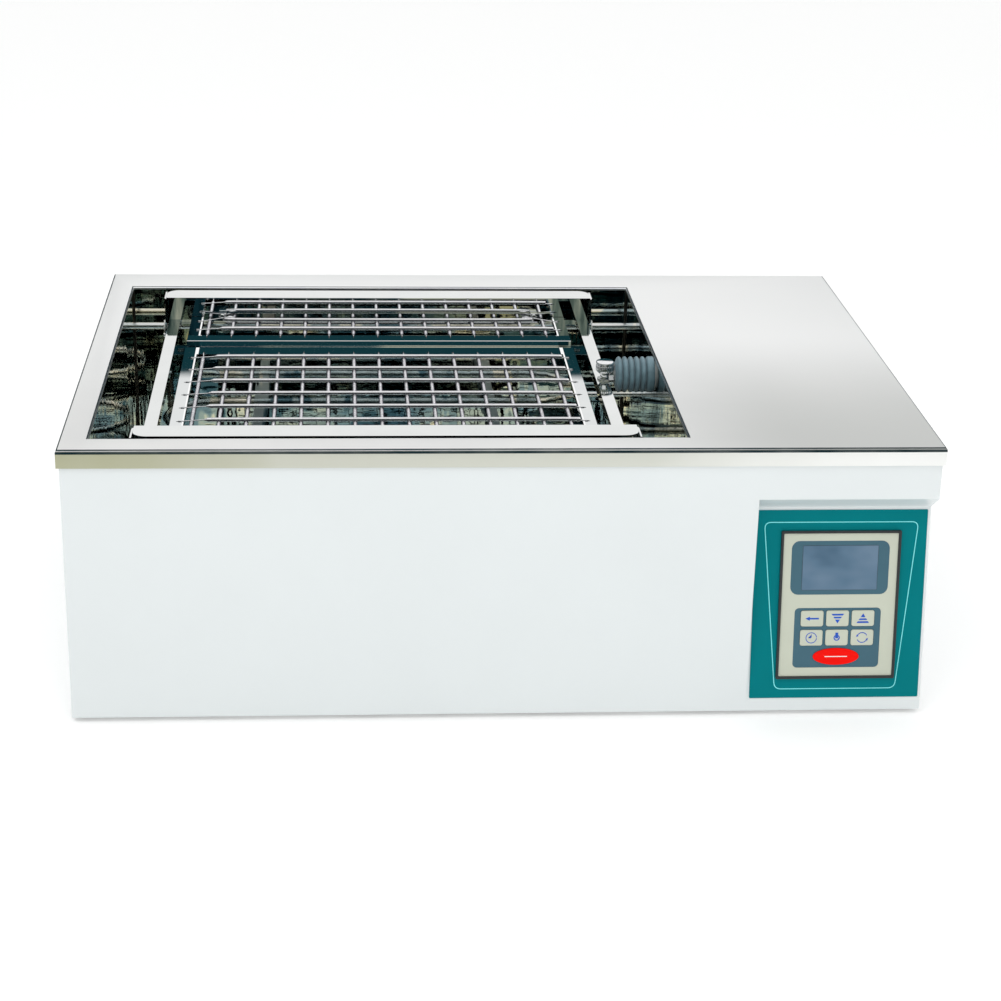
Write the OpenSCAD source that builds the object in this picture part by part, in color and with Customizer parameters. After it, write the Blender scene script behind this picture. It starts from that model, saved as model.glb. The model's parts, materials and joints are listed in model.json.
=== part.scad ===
// Reciprocating shaking water bath.
// A white sheet-steel case carries a polished deck with a rectangular bath let into its
// left side. A carriage with two spring racks slides left and right on two rods inside
// the bath, driven by a crank in the compartment on the right, under the slanted panel.
// Millimetres, +Z up, front towards -Y, origin at the middle of the footprint on the bench.

/* [Case] */
// Width of the deck, side to side
deck_w = 750; // [740:1:760]
// Depth of the deck, front to back
deck_d = 534; // [530:1:538]
// Height of the deck's top face above the bench
deck_top = 252; // [251:0.5:254]
// Height of the folded lip round the deck
lip_h = 16.3; // [12:0.1:18]
// Thickness of the sheet metal
sheet = 1.2; // [1:0.1:1.3]
// Distance from the deck's edge in to the case's outer face
case_inset = 2.3; // [2:0.1:3]
// Height of the rubber feet under the case
foot_h = 4; // [3:0.5:4]

/* [Bath] */
// Left edge of the deck opening, from the deck's left edge
bath_left = 24.5; // [22:0.5:26]
// Width of the deck opening
bath_w = 507.6; // [506:0.1:509]
// Front edge of the deck opening, from the deck's front edge
bath_front = 28.7; // [28:0.1:30]
// Depth of the deck opening, front to back
bath_d = 457; // [456:0.5:458]
// Inside floor level of the bath above the bench
bath_floor = 52; // [50:1:56]
// Height of the turned-down rim round the opening
rim_h = 3; // [2:0.5:4]

/* [Control recess] */
// Left side of the recess, from the middle of the case
recess_left = 216.8; // [214:0.1:220]
// Level of the recess's upper front edge
recess_top = 204.4; // [202:0.1:206]
// Level at which the slanted panel starts at the top
panel_top = 188.2; // [186:0.1:190]
// Level at which the slanted panel meets the front
panel_foot = 13.7; // [12:0.1:16]
// How far the panel's top edge is set back
recess_depth = 23.7; // [22:0.1:25]

/* [Carriage] */
// Stroke to each side of the middle
half_stroke = 12.5; // [5:0.5:12.5]
// Diameter of the guide rods
rod_d = 7; // [6:0.5:8]
// Level of the guide rods
rod_z = 217.5; // [216:0.5:219]
// Width of the carriage's top flanges
flange_w = 27; // [24:1:28]
// Distance from the front web to the back web
web_span = 386; // [384:1:387]
// Level of the flanges' top faces, under the deck's top
flange_drop = 0.8; // [0.5:0.1:1.5]
// Half the length of the carriage over its side plates
carriage_half = 217.8; // [214:0.1:220]
// Level of the side rails' top faces
rail_z = 228.3; // [227:0.1:229]

/* [Spring racks] */
// Width of a rack over its side strips
rack_w = 379; // [376:1:380]
// Width of a rack's side strips
strip_w = 12; // [10:1:13]
// Depth of the front rack
front_rack_d = 281.5; // [280:0.5:283]
// Depth of the back rack
back_rack_d = 81.5; // [80:0.5:82]
// Level of the racks' top faces
rack_z = 231.3; // [230.5:0.1:232]
// Diameter of the springs
spring_d = 3.4; // [3:0.1:3.4]
// Springs that run front to back in each rack
long_springs = 15; // [9:2:15]
// Spacing of the springs that run front to back
long_pitch = 24.1; // [22:0.1:24.1]
// Springs that run side to side in the front rack
cross_springs = 7; // [5:1:7]
// Spacing of the springs that run side to side in the front rack
cross_pitch = 36.5; // [30:0.5:36.5]

/* [Drive] */
// Diameter of the push rod
push_d = 8; // [8:0.5:9]
// Level of the push rod's axis
push_z = 233.5; // [233:0.1:234]
// Push rod's place, front to back
push_y = -12.5; // [-20:0.5:0]
// Distance of the crank's axis from the middle of the case
crank_x = 256; // [254:1:262]
// Outer diameter of the bellows
bellows_d = 34.2; // [32:0.1:36]

/* [Keys] */
// Width of a key
key_w = 20; // [16:0.5:20.5]
// Height of a key
key_h = 14.3; // [10:0.1:15]
// Travel of a key
key_travel = 0.4; // [0.2:0.1:0.6]

/* [Hidden] */
$fn = 48;
eps = 0.01;
gap = 0.3;

// Case
case_x = deck_w/2 - case_inset;
case_y = deck_d/2 - case_inset;
case_z0 = foot_h;
case_z1 = deck_top - sheet;
panel_rise = panel_top - panel_foot;
panel_tilt = atan(recess_depth/panel_rise);
panel_len = sqrt(pow(recess_depth, 2) + pow(panel_rise, 2));
panel_mid = (recess_left + case_x)/2;

// Bath
open_x0 = -deck_w/2 + bath_left;
open_x1 = open_x0 + bath_w;
open_y0 = -deck_d/2 + bath_front;
open_y1 = open_y0 + bath_d;
tub_x0 = open_x0 - sheet;
tub_x1 = open_x1 + sheet;
tub_y0 = open_y0 - sheet;
tub_y1 = open_y1 + sheet;
tub_out = tub_x1 + sheet;
wool = 10;

// Carriage
carriage_x = -99.3;
carriage_y = -11.5;
flange_z = deck_top - flange_drop;
web_t = 1.5;
web_y0 = carriage_y - web_span/2;
web_y1 = carriage_y + web_span/2;
rod_y0 = web_y0 - flange_w/2;
rod_y1 = web_y1 + flange_w/2;
plate_bend = 4.5;
ledge_z = rack_z - 5.6;
ledge_w = 8;
rail_w = 11.3;
rail_lip = 10;
rail_out = carriage_half - 4.6;
rail_in = rail_out - rail_w;
beam_y0 = 73;
beam_y1 = 104;
bush_r = 6;
bush_l = 9;

// Racks
rack_x0 = carriage_x - 190.5;
rack_x1 = rack_x0 + rack_w;
rack_t = 1.5;
rack_lip = 3.8;
front_rack_y0 = web_y0 + 1;
front_rack_y1 = front_rack_y0 + front_rack_d;
back_rack_y1 = web_y1 - 1;
back_rack_y0 = back_rack_y1 - back_rack_d;
front_strip = 20;
back_strip = 19;
back_lip = 4.7;
spring_x0 = rack_x0 + strip_w;
spring_x1 = rack_x1 - strip_w;
front_spring_y0 = front_rack_y0 + front_strip;
front_spring_y1 = front_rack_y1 - back_strip - 2;
back_spring_y0 = back_rack_y0 + back_strip;
back_spring_y1 = back_rack_y1 - rack_t;
cross_wire = 12;
long_wire = 7;
long_z = rack_z - spring_d/2;
cross_z = rack_z + spring_d/2 + 0.1;
hook_r = 0.6;
hook_z = rack_z + hook_r + 0.1;
slot_in = 4.4;
slot_l = 4.5;
slot_w = 1.6;
cross_y0 = -174.5;
back_rows = [135.5, 165];
long_x0 = rack_x0 + strip_w + 6.8;
clamp_x = [-258.5, 58];
long_x = [for (i = [0:long_springs - 1]) long_x0 + i*long_pitch];
cross_y = [for (i = [0:cross_springs - 1]) cross_y0 + i*cross_pitch];

// Heater, probe and drain
heater_r = 4;
heater_z = bath_floor + 16;
heater_legs_y = [-150, -50, 50, 150];
heater_ends = [heater_legs_y[0], heater_legs_y[3]];
heater_x0 = -280;
heater_x1 = 80;
probe_y = 205;
probe_z = 140;
drain_x = -295;
drain_y = 205;
drain_z = 23;
drain_bore_r = 4.2;
valve_y = case_y - 26;

// Panel
frame_w = 105.6;
frame_v0 = 20.6;
frame_v1 = 155.2;
frame_mid = (frame_v0 + frame_v1)/2;
frame_h = frame_v1 - frame_v0;
frame_edge = 2.2;
membrane_z = 1.6;
display_v = 121.8;
pad_v = 58;
key_cols = [-22.6, 0, 22.6];
key_rows = [75.7, 58.1];
key_out = 2;
run_v = 40.8;
run_w = 40.8;
run_h = 15.2;

// Back panel
fan_x = 300;
fan_z = 170;
fan_r = 38;
inlet_x = 230;
switch_x = 300;
socket_z = 50;

// Drive
pivot_x = 196;
tongue_t = 2;
screw_x = 110.5;
screw_hole_r = 2.6;
bellows_x0 = 119.8;
crank_r = half_stroke;
plate_z = 200;
disc_z = 212;
con_z0 = 225.5;
con_t = 5;
bush_x1 = 174;
shaft_r = 5;

// ---------- shared shapes ----------

// A box given by its two corners.
module block(a, b) {
  translate(a) cube([b[0] - a[0], b[1] - a[1], b[2] - a[2]]);
}

// A round bar between two points.
module bar(p, q, r) {
  d = q - p;
  len = norm(d);
  translate(p)
    rotate([0, acos(d[2]/len), atan2(d[1], d[0])])
      cylinder(r = r, h = len);
}

// A cylinder along +X or +Y, from a start point.
module along_x(p, r, h) {
  translate(p) rotate([0, 90, 0]) cylinder(r = r, h = h);
}
module along_y(p, r, h) {
  translate(p) rotate([-90, 0, 0]) cylinder(r = r, h = h);
}

// A plate with round corners, in the XY plane.
module round_plate(w, h, r, t) {
  linear_extrude(t) {
    square([w - 2*r, h], center = true);
    square([w, h - 2*r], center = true);
    for (x = [-1, 1], y = [-1, 1])
      translate([x*(w/2 - r), y*(h/2 - r)]) circle(r);
  }
}

// Places children on the slanted panel: X as in the case, Y up the slope, Z outwards.
module on_panel(x = 0, v = 0, out = 0) {
  translate([0, -case_y, panel_foot])
    rotate([90 - panel_tilt, 0, 0])
      translate([x, v, out]) children();
}

// ---------- case ----------

// The side profile of the case in front of the drive compartment, as (depth, level).
module recess_profile(inset) {
  front = -case_y + inset;
  rise = inset*0.52;
  polygon([
    [front, case_z0],
    [front, panel_foot],
    [-case_y + recess_depth + inset, panel_top + rise],
    [front, recess_top + rise],
    [front, case_z1],
    [case_y - sheet, case_z1],
    [case_y - sheet, case_z0]]);
}

// Extrudes a (depth, level) outline along X.
module along_case(x0, x1) {
  translate([x0, 0, 0]) rotate([90, 0, 90]) linear_extrude(x1 - x0) children();
}

module case_shell() {
  color("whitesmoke") difference() {
    union() {
      block([-case_x, -case_y, case_z0], [recess_left, case_y - sheet, case_z1]);
      along_case(recess_left - eps, case_x) recess_profile(0);
    }
    block([-case_x + sheet, -case_y + sheet, case_z0 - 1],
          [recess_left - sheet, case_y, case_z1 + 1]);
    difference() {
      along_case(recess_left - 2*sheet, case_x - sheet) recess_profile(sheet);
      block([0, -case_y, case_z0 - 2], [case_x, case_y, case_z0 + eps]);
    }
    block([recess_left - sheet - eps, -case_y + sheet, case_z0 - 1],
          [case_x - sheet, case_y, case_z0 + 1]);
    block([recess_left - sheet - eps, -case_y + recess_depth + 2*sheet, case_z1 - 2],
          [case_x - sheet, case_y, case_z1 + 1]);
    // window behind the controller
    on_panel(panel_mid, 88, -10) round_plate(92, 118, 3, 20);
  }
}

module base_pan() {
  x = case_x - sheet - 0.1;
  y0 = -case_y + sheet + 0.1;
  y1 = case_y - sheet - 0.1;
  color("gainsboro") difference() {
    block([-x, y0, case_z0], [x, y1, case_z0 + 10]);
    block([-x + sheet, y0 + sheet, case_z0 + sheet], [x - sheet, y1 - sheet, case_z0 + 20]);
    // air slots under the drive compartment
    for (i = [0:7])
      block([200 + i*18, -60, 0], [206 + i*18, 60, case_z0 + 5]);
    // room for the drain box
    block([-342, 222, case_z0 + sheet + 0.6], [-248, y1 + 1, case_z0 + 20]);
  }
}

module back_panel() {
  color("whitesmoke") difference() {
    block([-case_x, case_y - sheet, case_z0], [case_x, case_y, case_z1]);
    // drain box mouth
    block([-340, case_y - 5, 7], [-250, case_y + 5, 39.5]);
    // fan grille: rings of slots round the middle
    for (i = [-3:3])
      block([fan_x - fan_slot(i), case_y - 5, fan_z + i*9 - 2.5],
            [fan_x + fan_slot(i), case_y + 5, fan_z + i*9 + 2.5]);
    // air slots beside the fan
    for (i = [0:8])
      block([185, case_y - 5, 95 + i*12], [235, case_y + 5, 99 + i*12]);
    // mains inlet and switch cut-outs
    block([inlet_x - 14, case_y - 5, socket_z - 10.5], [inlet_x + 14, case_y + 5, socket_z + 10.5]);
    block([switch_x - 13.5, case_y - 5, socket_z - 10.5],
          [switch_x + 13.5, case_y + 5, socket_z + 10.5]);
  }
}

// Half the length of grille slot i, which ends on the fan's circle.
function fan_slot(i) = sqrt(pow(fan_r - 2, 2) - pow(i*9, 2));

module feet() {
  color("dimgray")
    for (x = [-1, 1], y = [-1, 1])
      translate([x*(case_x - 48), y*(case_y - 45), 0]) cylinder(r = 14, h = foot_h);
}

module deck() {
  x = deck_w/2;
  y = deck_d/2;
  color("silver") difference() {
    block([-x, -y, deck_top - lip_h], [x, y, deck_top]);
    block([-x + sheet, -y + sheet, deck_top - lip_h - 1], [x - sheet, y - sheet, deck_top - sheet]);
    block([open_x0, open_y0, deck_top - 2*sheet], [open_x1, open_y1, deck_top + 1]);
  }
  color("silver") difference() {
    block([tub_x0, tub_y0, deck_top - rim_h], [tub_x1, tub_y1, deck_top - sheet + eps]);
    block([open_x0, open_y0, deck_top - rim_h - 1], [open_x1, open_y1, deck_top + 1]);
  }
}

// ---------- bath ----------

module tub() {
  flange = 10;
  z1 = deck_top - sheet;
  color("silver") difference() {
    union() {
      block([tub_x0 - sheet, tub_y0 - sheet, bath_floor - sheet],
            [tub_out, tub_y1 + sheet, z1]);
      block([tub_x0 - flange, tub_y0 - flange, z1 - sheet], [tub_x1 + flange, tub_y1 + flange, z1]);
    }
    block([tub_x0, tub_y0, bath_floor], [tub_x1, tub_y1, z1 + 1]);
    // push rod bush
    along_x([tub_x1 - 2, push_y, push_z], 8, 10);
    // guide rods, both walls
    for (y = [rod_y0, rod_y1])
      along_x([tub_x0 - 20, y, rod_z], rod_d/2, 600);
    // heater legs and probe
    for (y = heater_ends) along_x([tub_x1 - 2, y, heater_z], 4.2, 10);
    along_x([tub_x1 - 2, probe_y, probe_z], 3.2, 10);
    // drain
    translate([drain_x, drain_y, bath_floor - 5]) cylinder(r = 6, h = 10);
  }
}

module tub_insulation() {
  x0 = tub_x0 - sheet;
  y0 = tub_y0 - sheet;
  y1 = tub_y1 + sheet;
  z0 = bath_floor - sheet;
  z1 = deck_top - sheet - sheet - 1;
  color("khaki") difference() {
    block([x0 - wool, y0 - wool, z0 - wool], [tub_out + wool, y1 + wool, z1]);
    block([x0, y0, z0], [tub_out, y1, z1 + 1]);
    along_x([tub_out - 1, push_y, push_z], 14, 20);
    block([tub_out - 1, push_y - 14, push_z], [tub_out + 20, push_y + 14, z1 + 1]);
    for (y = [rod_y0, rod_y1], x = [x0 - wool - 1, tub_out - 1]) {
      along_x([x, y, rod_z], 9, wool + 2);
      block([x, y - 9, rod_z], [x + wool + 2, y + 9, z1 + 1]);
    }
    for (y = heater_ends) along_x([tub_out - 1, y, heater_z], 12, 20);
    along_x([tub_out - 1, probe_y, probe_z], 9, 20);
    translate([drain_x, drain_y, z0 - wool - 1]) cylinder(r = 7, h = wool + 2);
  }
}

module bulkhead() {
  x0 = tub_out + wool + 0.5;
  color("lightgray") difference() {
    block([x0, -case_y + sheet + 1, case_z0 + sheet + 0.1],
          [x0 + sheet, case_y - sheet - 0.5, case_z1 - sheet - 0.5]);
    block([x0 - 1, -case_y, case_z0], [x0 + 5, -case_y + sheet + 3, case_z0 + 12]);
    block([x0 - 1, case_y - sheet - 3, case_z0], [x0 + 5, case_y, case_z0 + 12]);
    along_x([x0 - 1, push_y, push_z], 10, 5);
    for (y = heater_ends) along_x([x0 - 1, y, heater_z], 12, 5);
    along_x([x0 - 1, probe_y, probe_z], 9, 5);
    for (y = [rod_y0, rod_y1]) along_x([x0 - 1, y, rod_z], 9, 5);
  }
}

// Rods reach through both bath walls and end in cap nuts.
module guide_rods() {
  color("lightsteelblue")
    for (y = [rod_y0, rod_y1])
      along_x([tub_x0 - sheet - 5, y, rod_z], rod_d/2, tub_out - tub_x0 + sheet + 10);
}

module rod_cap_nuts() {
  nut_r = 7.5;
  nut_l = 8;
  bore_r = rod_d/2 + 0.02;
  color("silver")
    for (y = [rod_y0, rod_y1]) {
      difference() {
        along_x([tub_x0 - sheet - nut_l, y, rod_z], nut_r, nut_l);
        along_x([tub_x0 - sheet - 5.02, y, rod_z], bore_r, 6);
      }
      difference() {
        along_x([tub_out, y, rod_z], nut_r, nut_l);
        along_x([tub_out - 1, y, rod_z], bore_r, 6.02);
      }
    }
}

// Straight lengths of the heating tube; the two outer ones leave through the right wall.
module heater_legs() {
  color("gray")
    for (i = [0:3])
      along_x([heater_x0, heater_legs_y[i], heater_z], heater_r,
              (i % 3 == 0 ? tub_out + 22 : heater_x1) - heater_x0);
}

// Half rings that join the legs end to end.
module heater_bends() {
  pitch = heater_legs_y[1] - heater_legs_y[0];
  module bend() {
    rotate_extrude(angle = 180) translate([pitch/2, 0]) circle(heater_r);
  }
  color("gray") {
    for (y = [-pitch, pitch])
      translate([heater_x0, y, heater_z]) rotate([0, 0, 90]) bend();
    translate([heater_x1, 0, heater_z]) rotate([0, 0, -90]) bend();
  }
}

// Two low trestles with a notch for each leg.
module heater_rests() {
  half = 165;
  leg = 5.2;
  color("silver")
    for (x = [-230, 30])
      difference() {
        block([x - 6, -half, bath_floor], [x + 6, half, heater_z]);
        block([x - 7, -half + leg, bath_floor - 1], [x + 7, half - leg, heater_z - 9]);
        for (y = heater_legs_y) along_x([x - 7, y, heater_z], heater_r + 0.02, 14);
      }
}

// Seals and lock nuts that clamp the heater ends, the probe and the bush to the wall.
module tank_glands() {
  module ring(y, z, bore, outer, h) {
    difference() {
      along_x([tub_out, y, z], outer, h);
      along_x([tub_out - 1, y, z], bore, h + 2);
    }
  }
  color("goldenrod") {
    for (y = heater_ends) ring(y, heater_z, 4.05, 10, 9);
    ring(probe_y, probe_z, 3.05, 7.5, 8);
    ring(push_y, push_z, 8.02, 12.5, 5);
  }
}

module temp_probe() {
  color("silver") {
    along_x([tub_x1 - 60, probe_y, probe_z], 3, tub_out + 14 - (tub_x1 - 60));
    translate([tub_x1 - 60, probe_y, probe_z]) sphere(3);
  }
}

module wall_bush() {
  color("ivory") difference() {
    union() {
      along_x([tub_x1 - 3, push_y, push_z], 13, 3);
      along_x([tub_x1 - 1, push_y, push_z], 7.98, bush_x1 - tub_x1 + 1);
    }
    along_x([tub_x1 - 10, push_y, push_z], push_d/2 + 0.05, 60);
  }
}

// ---------- drive ----------

module drive_plate() {
  color("lightslategray") {
    difference() {
      block([crank_x - 50, push_y - 50, plate_z], [crank_x + 50, push_y + 50, plate_z + 3]);
      translate([crank_x, push_y, plate_z - 1]) cylinder(r = 8, h = 5);
    }
    for (x = [-42, 42], y = [-42, 42])
      translate([crank_x + x, push_y + y, case_z0 + sheet])
        cylinder(r = 5, h = plate_z - case_z0 - sheet);
  }
}

module gearbox() {
  color("slategray") difference() {
    block([crank_x - 32, push_y - 32, 160], [crank_x + 32, push_y + 32, plate_z]);
    translate([crank_x, push_y, plate_z - 12]) cylinder(r = shaft_r + 0.06, h = 14);
  }
}

module motor() {
  color("darkslategray") translate([crank_x, push_y, 0]) {
    translate([0, 0, 78]) cylinder(r = 30, h = 82);
    translate([0, 0, 70]) cylinder(r = 24, h = 8);
  }
}

module shaft_bush() {
  color("darkgoldenrod") translate([crank_x, push_y, 0]) difference() {
    union() {
      translate([0, 0, plate_z]) cylinder(r = 8, h = 3);
      translate([0, 0, plate_z + 3]) cylinder(r = 11, h = 2);
    }
    translate([0, 0, plate_z - 1]) cylinder(r = shaft_r + 0.06, h = 8);
  }
}

// Shaft, disc and eccentric pin. The pin ends just under the connecting rod.
module crank() {
  color("gray") translate([crank_x, push_y, 0]) {
    translate([0, 0, plate_z - 10]) cylinder(r = shaft_r, h = disc_z - plate_z + 10);
    translate([0, 0, disc_z - 6]) cylinder(r = 9, h = 6);
    translate([0, 0, disc_z]) cylinder(r = 20, h = 8);
    translate([0, crank_r, disc_z + 8]) cylinder(r = 3, h = con_z0 - 0.4 - disc_z - 8);
  }
}

module con_rod() {
  dx = crank_x - pivot_x;
  len = sqrt(dx*dx + crank_r*crank_r);
  color("steelblue") translate([pivot_x, push_y, con_z0]) difference() {
    rotate([0, 0, atan2(crank_r, dx)]) union() {
      cylinder(r = 7, h = con_t);
      translate([len, 0, 0]) cylinder(r = 7.5, h = con_t);
      translate([0, -4, 0]) cube([len, 8, con_t]);
    }
    translate([0, 0, -1]) cylinder(r = 2.56, h = con_t + 2);
    translate([dx, crank_r, -1]) cylinder(r = 3.2, h = con_t + 2);
  }
}

// Rod from the carriage's right rail, through the bellows and the bush, to the crank.
module push_rod() {
  start = bellows_x0 - 0.9;
  tongue_r = 7;
  eye_r = 6;
  eye_z = 231;
  color("lightgray") difference() {
    union() {
      along_x([start, push_y, push_z], push_d/2, pivot_x - eye_r - 1 - start);
      translate([screw_x, push_y, rail_z]) cylinder(r = tongue_r, h = tongue_t);
      block([screw_x, push_y - tongue_r, rail_z],
            [bellows_x0 - 0.2, push_y + tongue_r, rail_z + tongue_t]);
      // eye and pin for the connecting rod
      block([pivot_x - eye_r - 2, push_y - eye_r, eye_z], [pivot_x, push_y + eye_r, eye_z + 5]);
      translate([pivot_x, push_y, eye_z]) cylinder(r = eye_r, h = 5);
      translate([pivot_x, push_y, con_z0 - 1.5]) cylinder(r = 2.5, h = 8);
      translate([pivot_x, push_y, con_z0 - 1.6]) cylinder(r = 4.5, h = 1.2);
    }
    translate([screw_x, push_y, rail_z - 1]) cylinder(r = screw_hole_r, h = 5);
  }
}

// Ribbed rubber sleeve with a wide cuff on the bush's flange.
module bellows() {
  n = 5;
  pitch = 5.65;
  big = bellows_d/2;
  small = big - 4.2;
  wall = 1;
  start = 1.2;
  cuff = 13.1;
  ribs = [for (i = [0:n - 1]) each [
      [small, start + i*pitch + 0.3],
      [big, start + i*pitch + 1.6],
      [big, start + i*pitch + 3.4],
      [small, start + i*pitch + 4.9]]];
  outer_end = start + n*pitch;
  tail = open_x1 - gap - bellows_x0;
  outline = concat(
    [[small, 0]], ribs,
    [[big, outer_end + 1.2], [big, tail], [cuff, tail], [cuff, outer_end + 2.4]],
    [for (i = [2*n - 1:-1:0]) let (p = ribs[2*i], q = ribs[2*i + 1]) each
       i % 2 == 1 ? [[q[0] - wall, q[1] - 0.3], [p[0] - wall, p[1] - 0.3]]
                  : [[q[0] - wall, q[1] + 0.3], [p[0] - wall, p[1] + 0.3]]],
    [[small - wall, 1], [push_d/2 + 0.1, 1], [push_d/2 + 0.1, 0]]);
  color("darkslategray")
    translate([bellows_x0, push_y, push_z]) rotate([0, 90, 0])
      rotate_extrude() polygon(outline);
}

module thumb_screw() {
  z = rail_z + tongue_t + gap;
  color("silver") translate([screw_x, push_y, z]) {
    translate([0, 0, -12]) cylinder(r = 2.5, h = 12 + eps);
    cylinder(r = 4.4, h = 2.6);
    translate([0, 0, 2.5]) rotate_extrude()
      polygon([[0, 0], [4.4, 0], [8.6, 5.5], [8.6, 10], [7.6, 10.4], [7.6, 11.2],
               [8.6, 11.6], [8.6, 13.4], [8, 14], [0, 14]]);
  }
}

// ---------- carriage ----------

// One flange, web, ledge and pair of side plates, for the back; the front is its mirror.
module cross_member() {
  half = carriage_half;
  corner = 12;
  top = flange_z;
  depth = flange_w;
  // top flange with its two outer corners rounded
  translate([0, 0, top - web_t]) linear_extrude(web_t) {
    translate([-half + 2, 0]) square([2*half - 4, depth - corner]);
    translate([-half + 2 + corner, 0]) square([2*half - 4 - 2*corner, depth]);
    for (x = [-1, 1]) translate([x*(half - 2 - corner), depth - corner]) circle(corner);
  }
  // web and the ledge that a rack's edge rests over
  block([-half + plate_bend, 0, ledge_z - web_t], [half - plate_bend, web_t, top - web_t + eps]);
  block([-rail_in + 1, -ledge_w, ledge_z - web_t], [rail_in - 1, eps, ledge_z]);
  // side plates, bent round from the web, with a round foot about the rod
  for (x = [0, 1]) mirror([x, 0, 0]) {
    difference() {
      union() {
        block([half - web_t, plate_bend, rod_z], [half, depth - 0.5, top - web_t + eps]);
        along_x([half - web_t, depth/2, rod_z - 0.5], depth/2 - 0.5, web_t);
      }
      along_x([half - 5, depth/2, rod_z], bush_r, 10);
    }
    difference() {
      translate([half - plate_bend, plate_bend, ledge_z - web_t])
        cylinder(r = plate_bend, h = top - web_t + eps - ledge_z + web_t);
      translate([half - plate_bend, plate_bend, ledge_z - 5])
        cylinder(r = plate_bend - web_t, h = 60);
      block([half - 20, 0, ledge_z - 5], [half - plate_bend, 20, top]);
      block([half - 20, plate_bend, ledge_z - 5], [half + 1, 20, top]);
    }
  }
}

module carriage_frame() {
  color("gainsboro") difference() {
    union() {
      translate([carriage_x, web_y1, 0]) cross_member();
      translate([carriage_x, web_y0, 0]) mirror([0, 1, 0]) cross_member();
      // side rails: a flat strip with its inner edge turned down
      for (s = [-1, 1]) translate([carriage_x, 0, 0]) mirror([s < 0 ? 1 : 0, 0, 0]) {
        block([rail_in, web_y0 - eps, rail_z - web_t], [rail_out, web_y1 + eps, rail_z]);
        block([rail_in, web_y0 - eps, rail_z - rail_lip],
              [rail_in + web_t, web_y1 + eps, rail_z]);
      }
    }
    translate([screw_x, push_y, rail_z - 5]) cylinder(r = screw_hole_r, h = 10);
  }
}

// Channel across the rails that carries the facing edges of both racks.
module rack_beam() {
  x0 = carriage_x - rail_in;
  x1 = carriage_x + rail_in;
  top = ledge_z;
  color("gainsboro") {
    difference() {
      block([x0, beam_y0, top - 6], [x1, beam_y1, top]);
      block([x0 - 1, beam_y0 + web_t, top - 7], [x1 + 1, beam_y1 - web_t, top - web_t]);
    }
    for (x = [x0 + 6, x1 - 8]) translate([x, (beam_y0 + beam_y1)/2, top]) cylinder(r = 3, h = 1.6);
  }
}

module rod_bushes() {
  color("white")
    for (s = [-1, 1], y = [rod_y0, rod_y1])
      translate([carriage_x + s*carriage_half, y, rod_z]) mirror([s < 0 ? 1 : 0, 0, 0])
        difference() {
          union() {
            along_x([-bush_l + 2, 0, 0], bush_r, bush_l);
            along_x([-web_t - 2, 0, 0], bush_r + 1.8, 2);
          }
          along_x([-20, 0, 0], rod_d/2 + 0.05, 40);
        }
}

// Cap nuts low on the side plates and the welded nut under the right rail.
module carriage_nuts() {
  color("silver") {
    for (s = [-1, 1], y = [rod_y0, rod_y1])
      translate([carriage_x + s*carriage_half, y - 1, rod_z - 9.2]) mirror([s < 0 ? 1 : 0, 0, 0])
        rotate([0, 90, 0]) {
          cylinder(r = 2.6, h = 2.4);
          translate([0, 0, 2]) sphere(1.8);
        }
    difference() {
      translate([screw_x, push_y, rail_z - web_t - 4]) cylinder(r = 4.3, h = 4);
      translate([screw_x, push_y, rail_z - web_t - 5]) cylinder(r = screw_hole_r, h = 6);
    }
  }
}

// ---------- spring racks ----------

// A slot through a strip, long way along X or Y.
module slot_x(x, y) {
  block([x - slot_l/2, y - slot_w/2, rack_z - 3], [x + slot_l/2, y + slot_w/2, rack_z + 1]);
}
module slot_y(x, y) {
  block([x - slot_w/2, y - slot_l/2, rack_z - 3], [x + slot_w/2, y + slot_l/2, rack_z + 1]);
}

module front_rack_frame() {
  z0 = rack_z - rack_t;
  x0 = spring_x0;
  x1 = spring_x1;
  y0 = front_spring_y0;
  y1 = front_spring_y1;
  color("lightsteelblue") difference() {
    union() {
      block([rack_x0, front_rack_y0, z0], [rack_x1, front_rack_y1, rack_z]);
      block([x0 - rack_t, y0 - rack_t, z0 - rack_lip], [x1 + rack_t, y1 + rack_t, z0 + eps]);
      // outer edges turned down, over the ledge and the beam
      for (y = [front_rack_y0, front_rack_y1 - rack_t])
        block([rack_x0, y, z0 - rack_lip], [rack_x1, y + rack_t, z0 + eps]);
    }
    block([x0, y0, z0 - 10], [x1, y1, rack_z + 1]);
    for (y = cross_y, x = [x0 - slot_in, x1 + slot_in]) slot_x(x, y);
    for (x = long_x, y = [y0 - slot_in, y1 + slot_in]) slot_y(x, y);
  }
}

// A wire from a spring's end, up over the strip's edge and down into its slot.
// a is the spring's end, e the bend above the strip, s the point above the slot.
module hook(a, e, s) {
  over = hook_r*0.6;
  u = (e - a)/norm(e - a);
  w = (s - e)/norm(s - e);
  bar(a, e + u*over, hook_r, $fn = 10);
  bar(e - w*over, s + w*over, hook_r, $fn = 10);
  bar(s + [0, 0, over], s - [0, 0, 3], hook_r, $fn = 10);
}

// Springs side to side between two strips' inner edges, at each given place.
module cross_springs_at(rows, x0, x1) {
  for (y = rows)
    along_x([x0 + cross_wire, y, cross_z], spring_d/2, x1 - x0 - 2*cross_wire, $fn = 24);
}
module cross_hooks_at(rows, x0, x1) {
  reach = cross_wire - gap;
  for (y = rows) {
    hook([x0 + reach, y, cross_z], [x0 + 1, y, hook_z], [x0 - slot_in, y, hook_z]);
    hook([x1 - reach, y, cross_z], [x1 - 1, y, hook_z], [x1 + slot_in, y, hook_z]);
  }
}

// Springs front to back, a layer below.
module long_springs_from(y0, y1) {
  for (x = long_x)
    along_y([x, y0 + long_wire, long_z], spring_d/2, y1 - y0 - 2*long_wire, $fn = 24);
}

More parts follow.
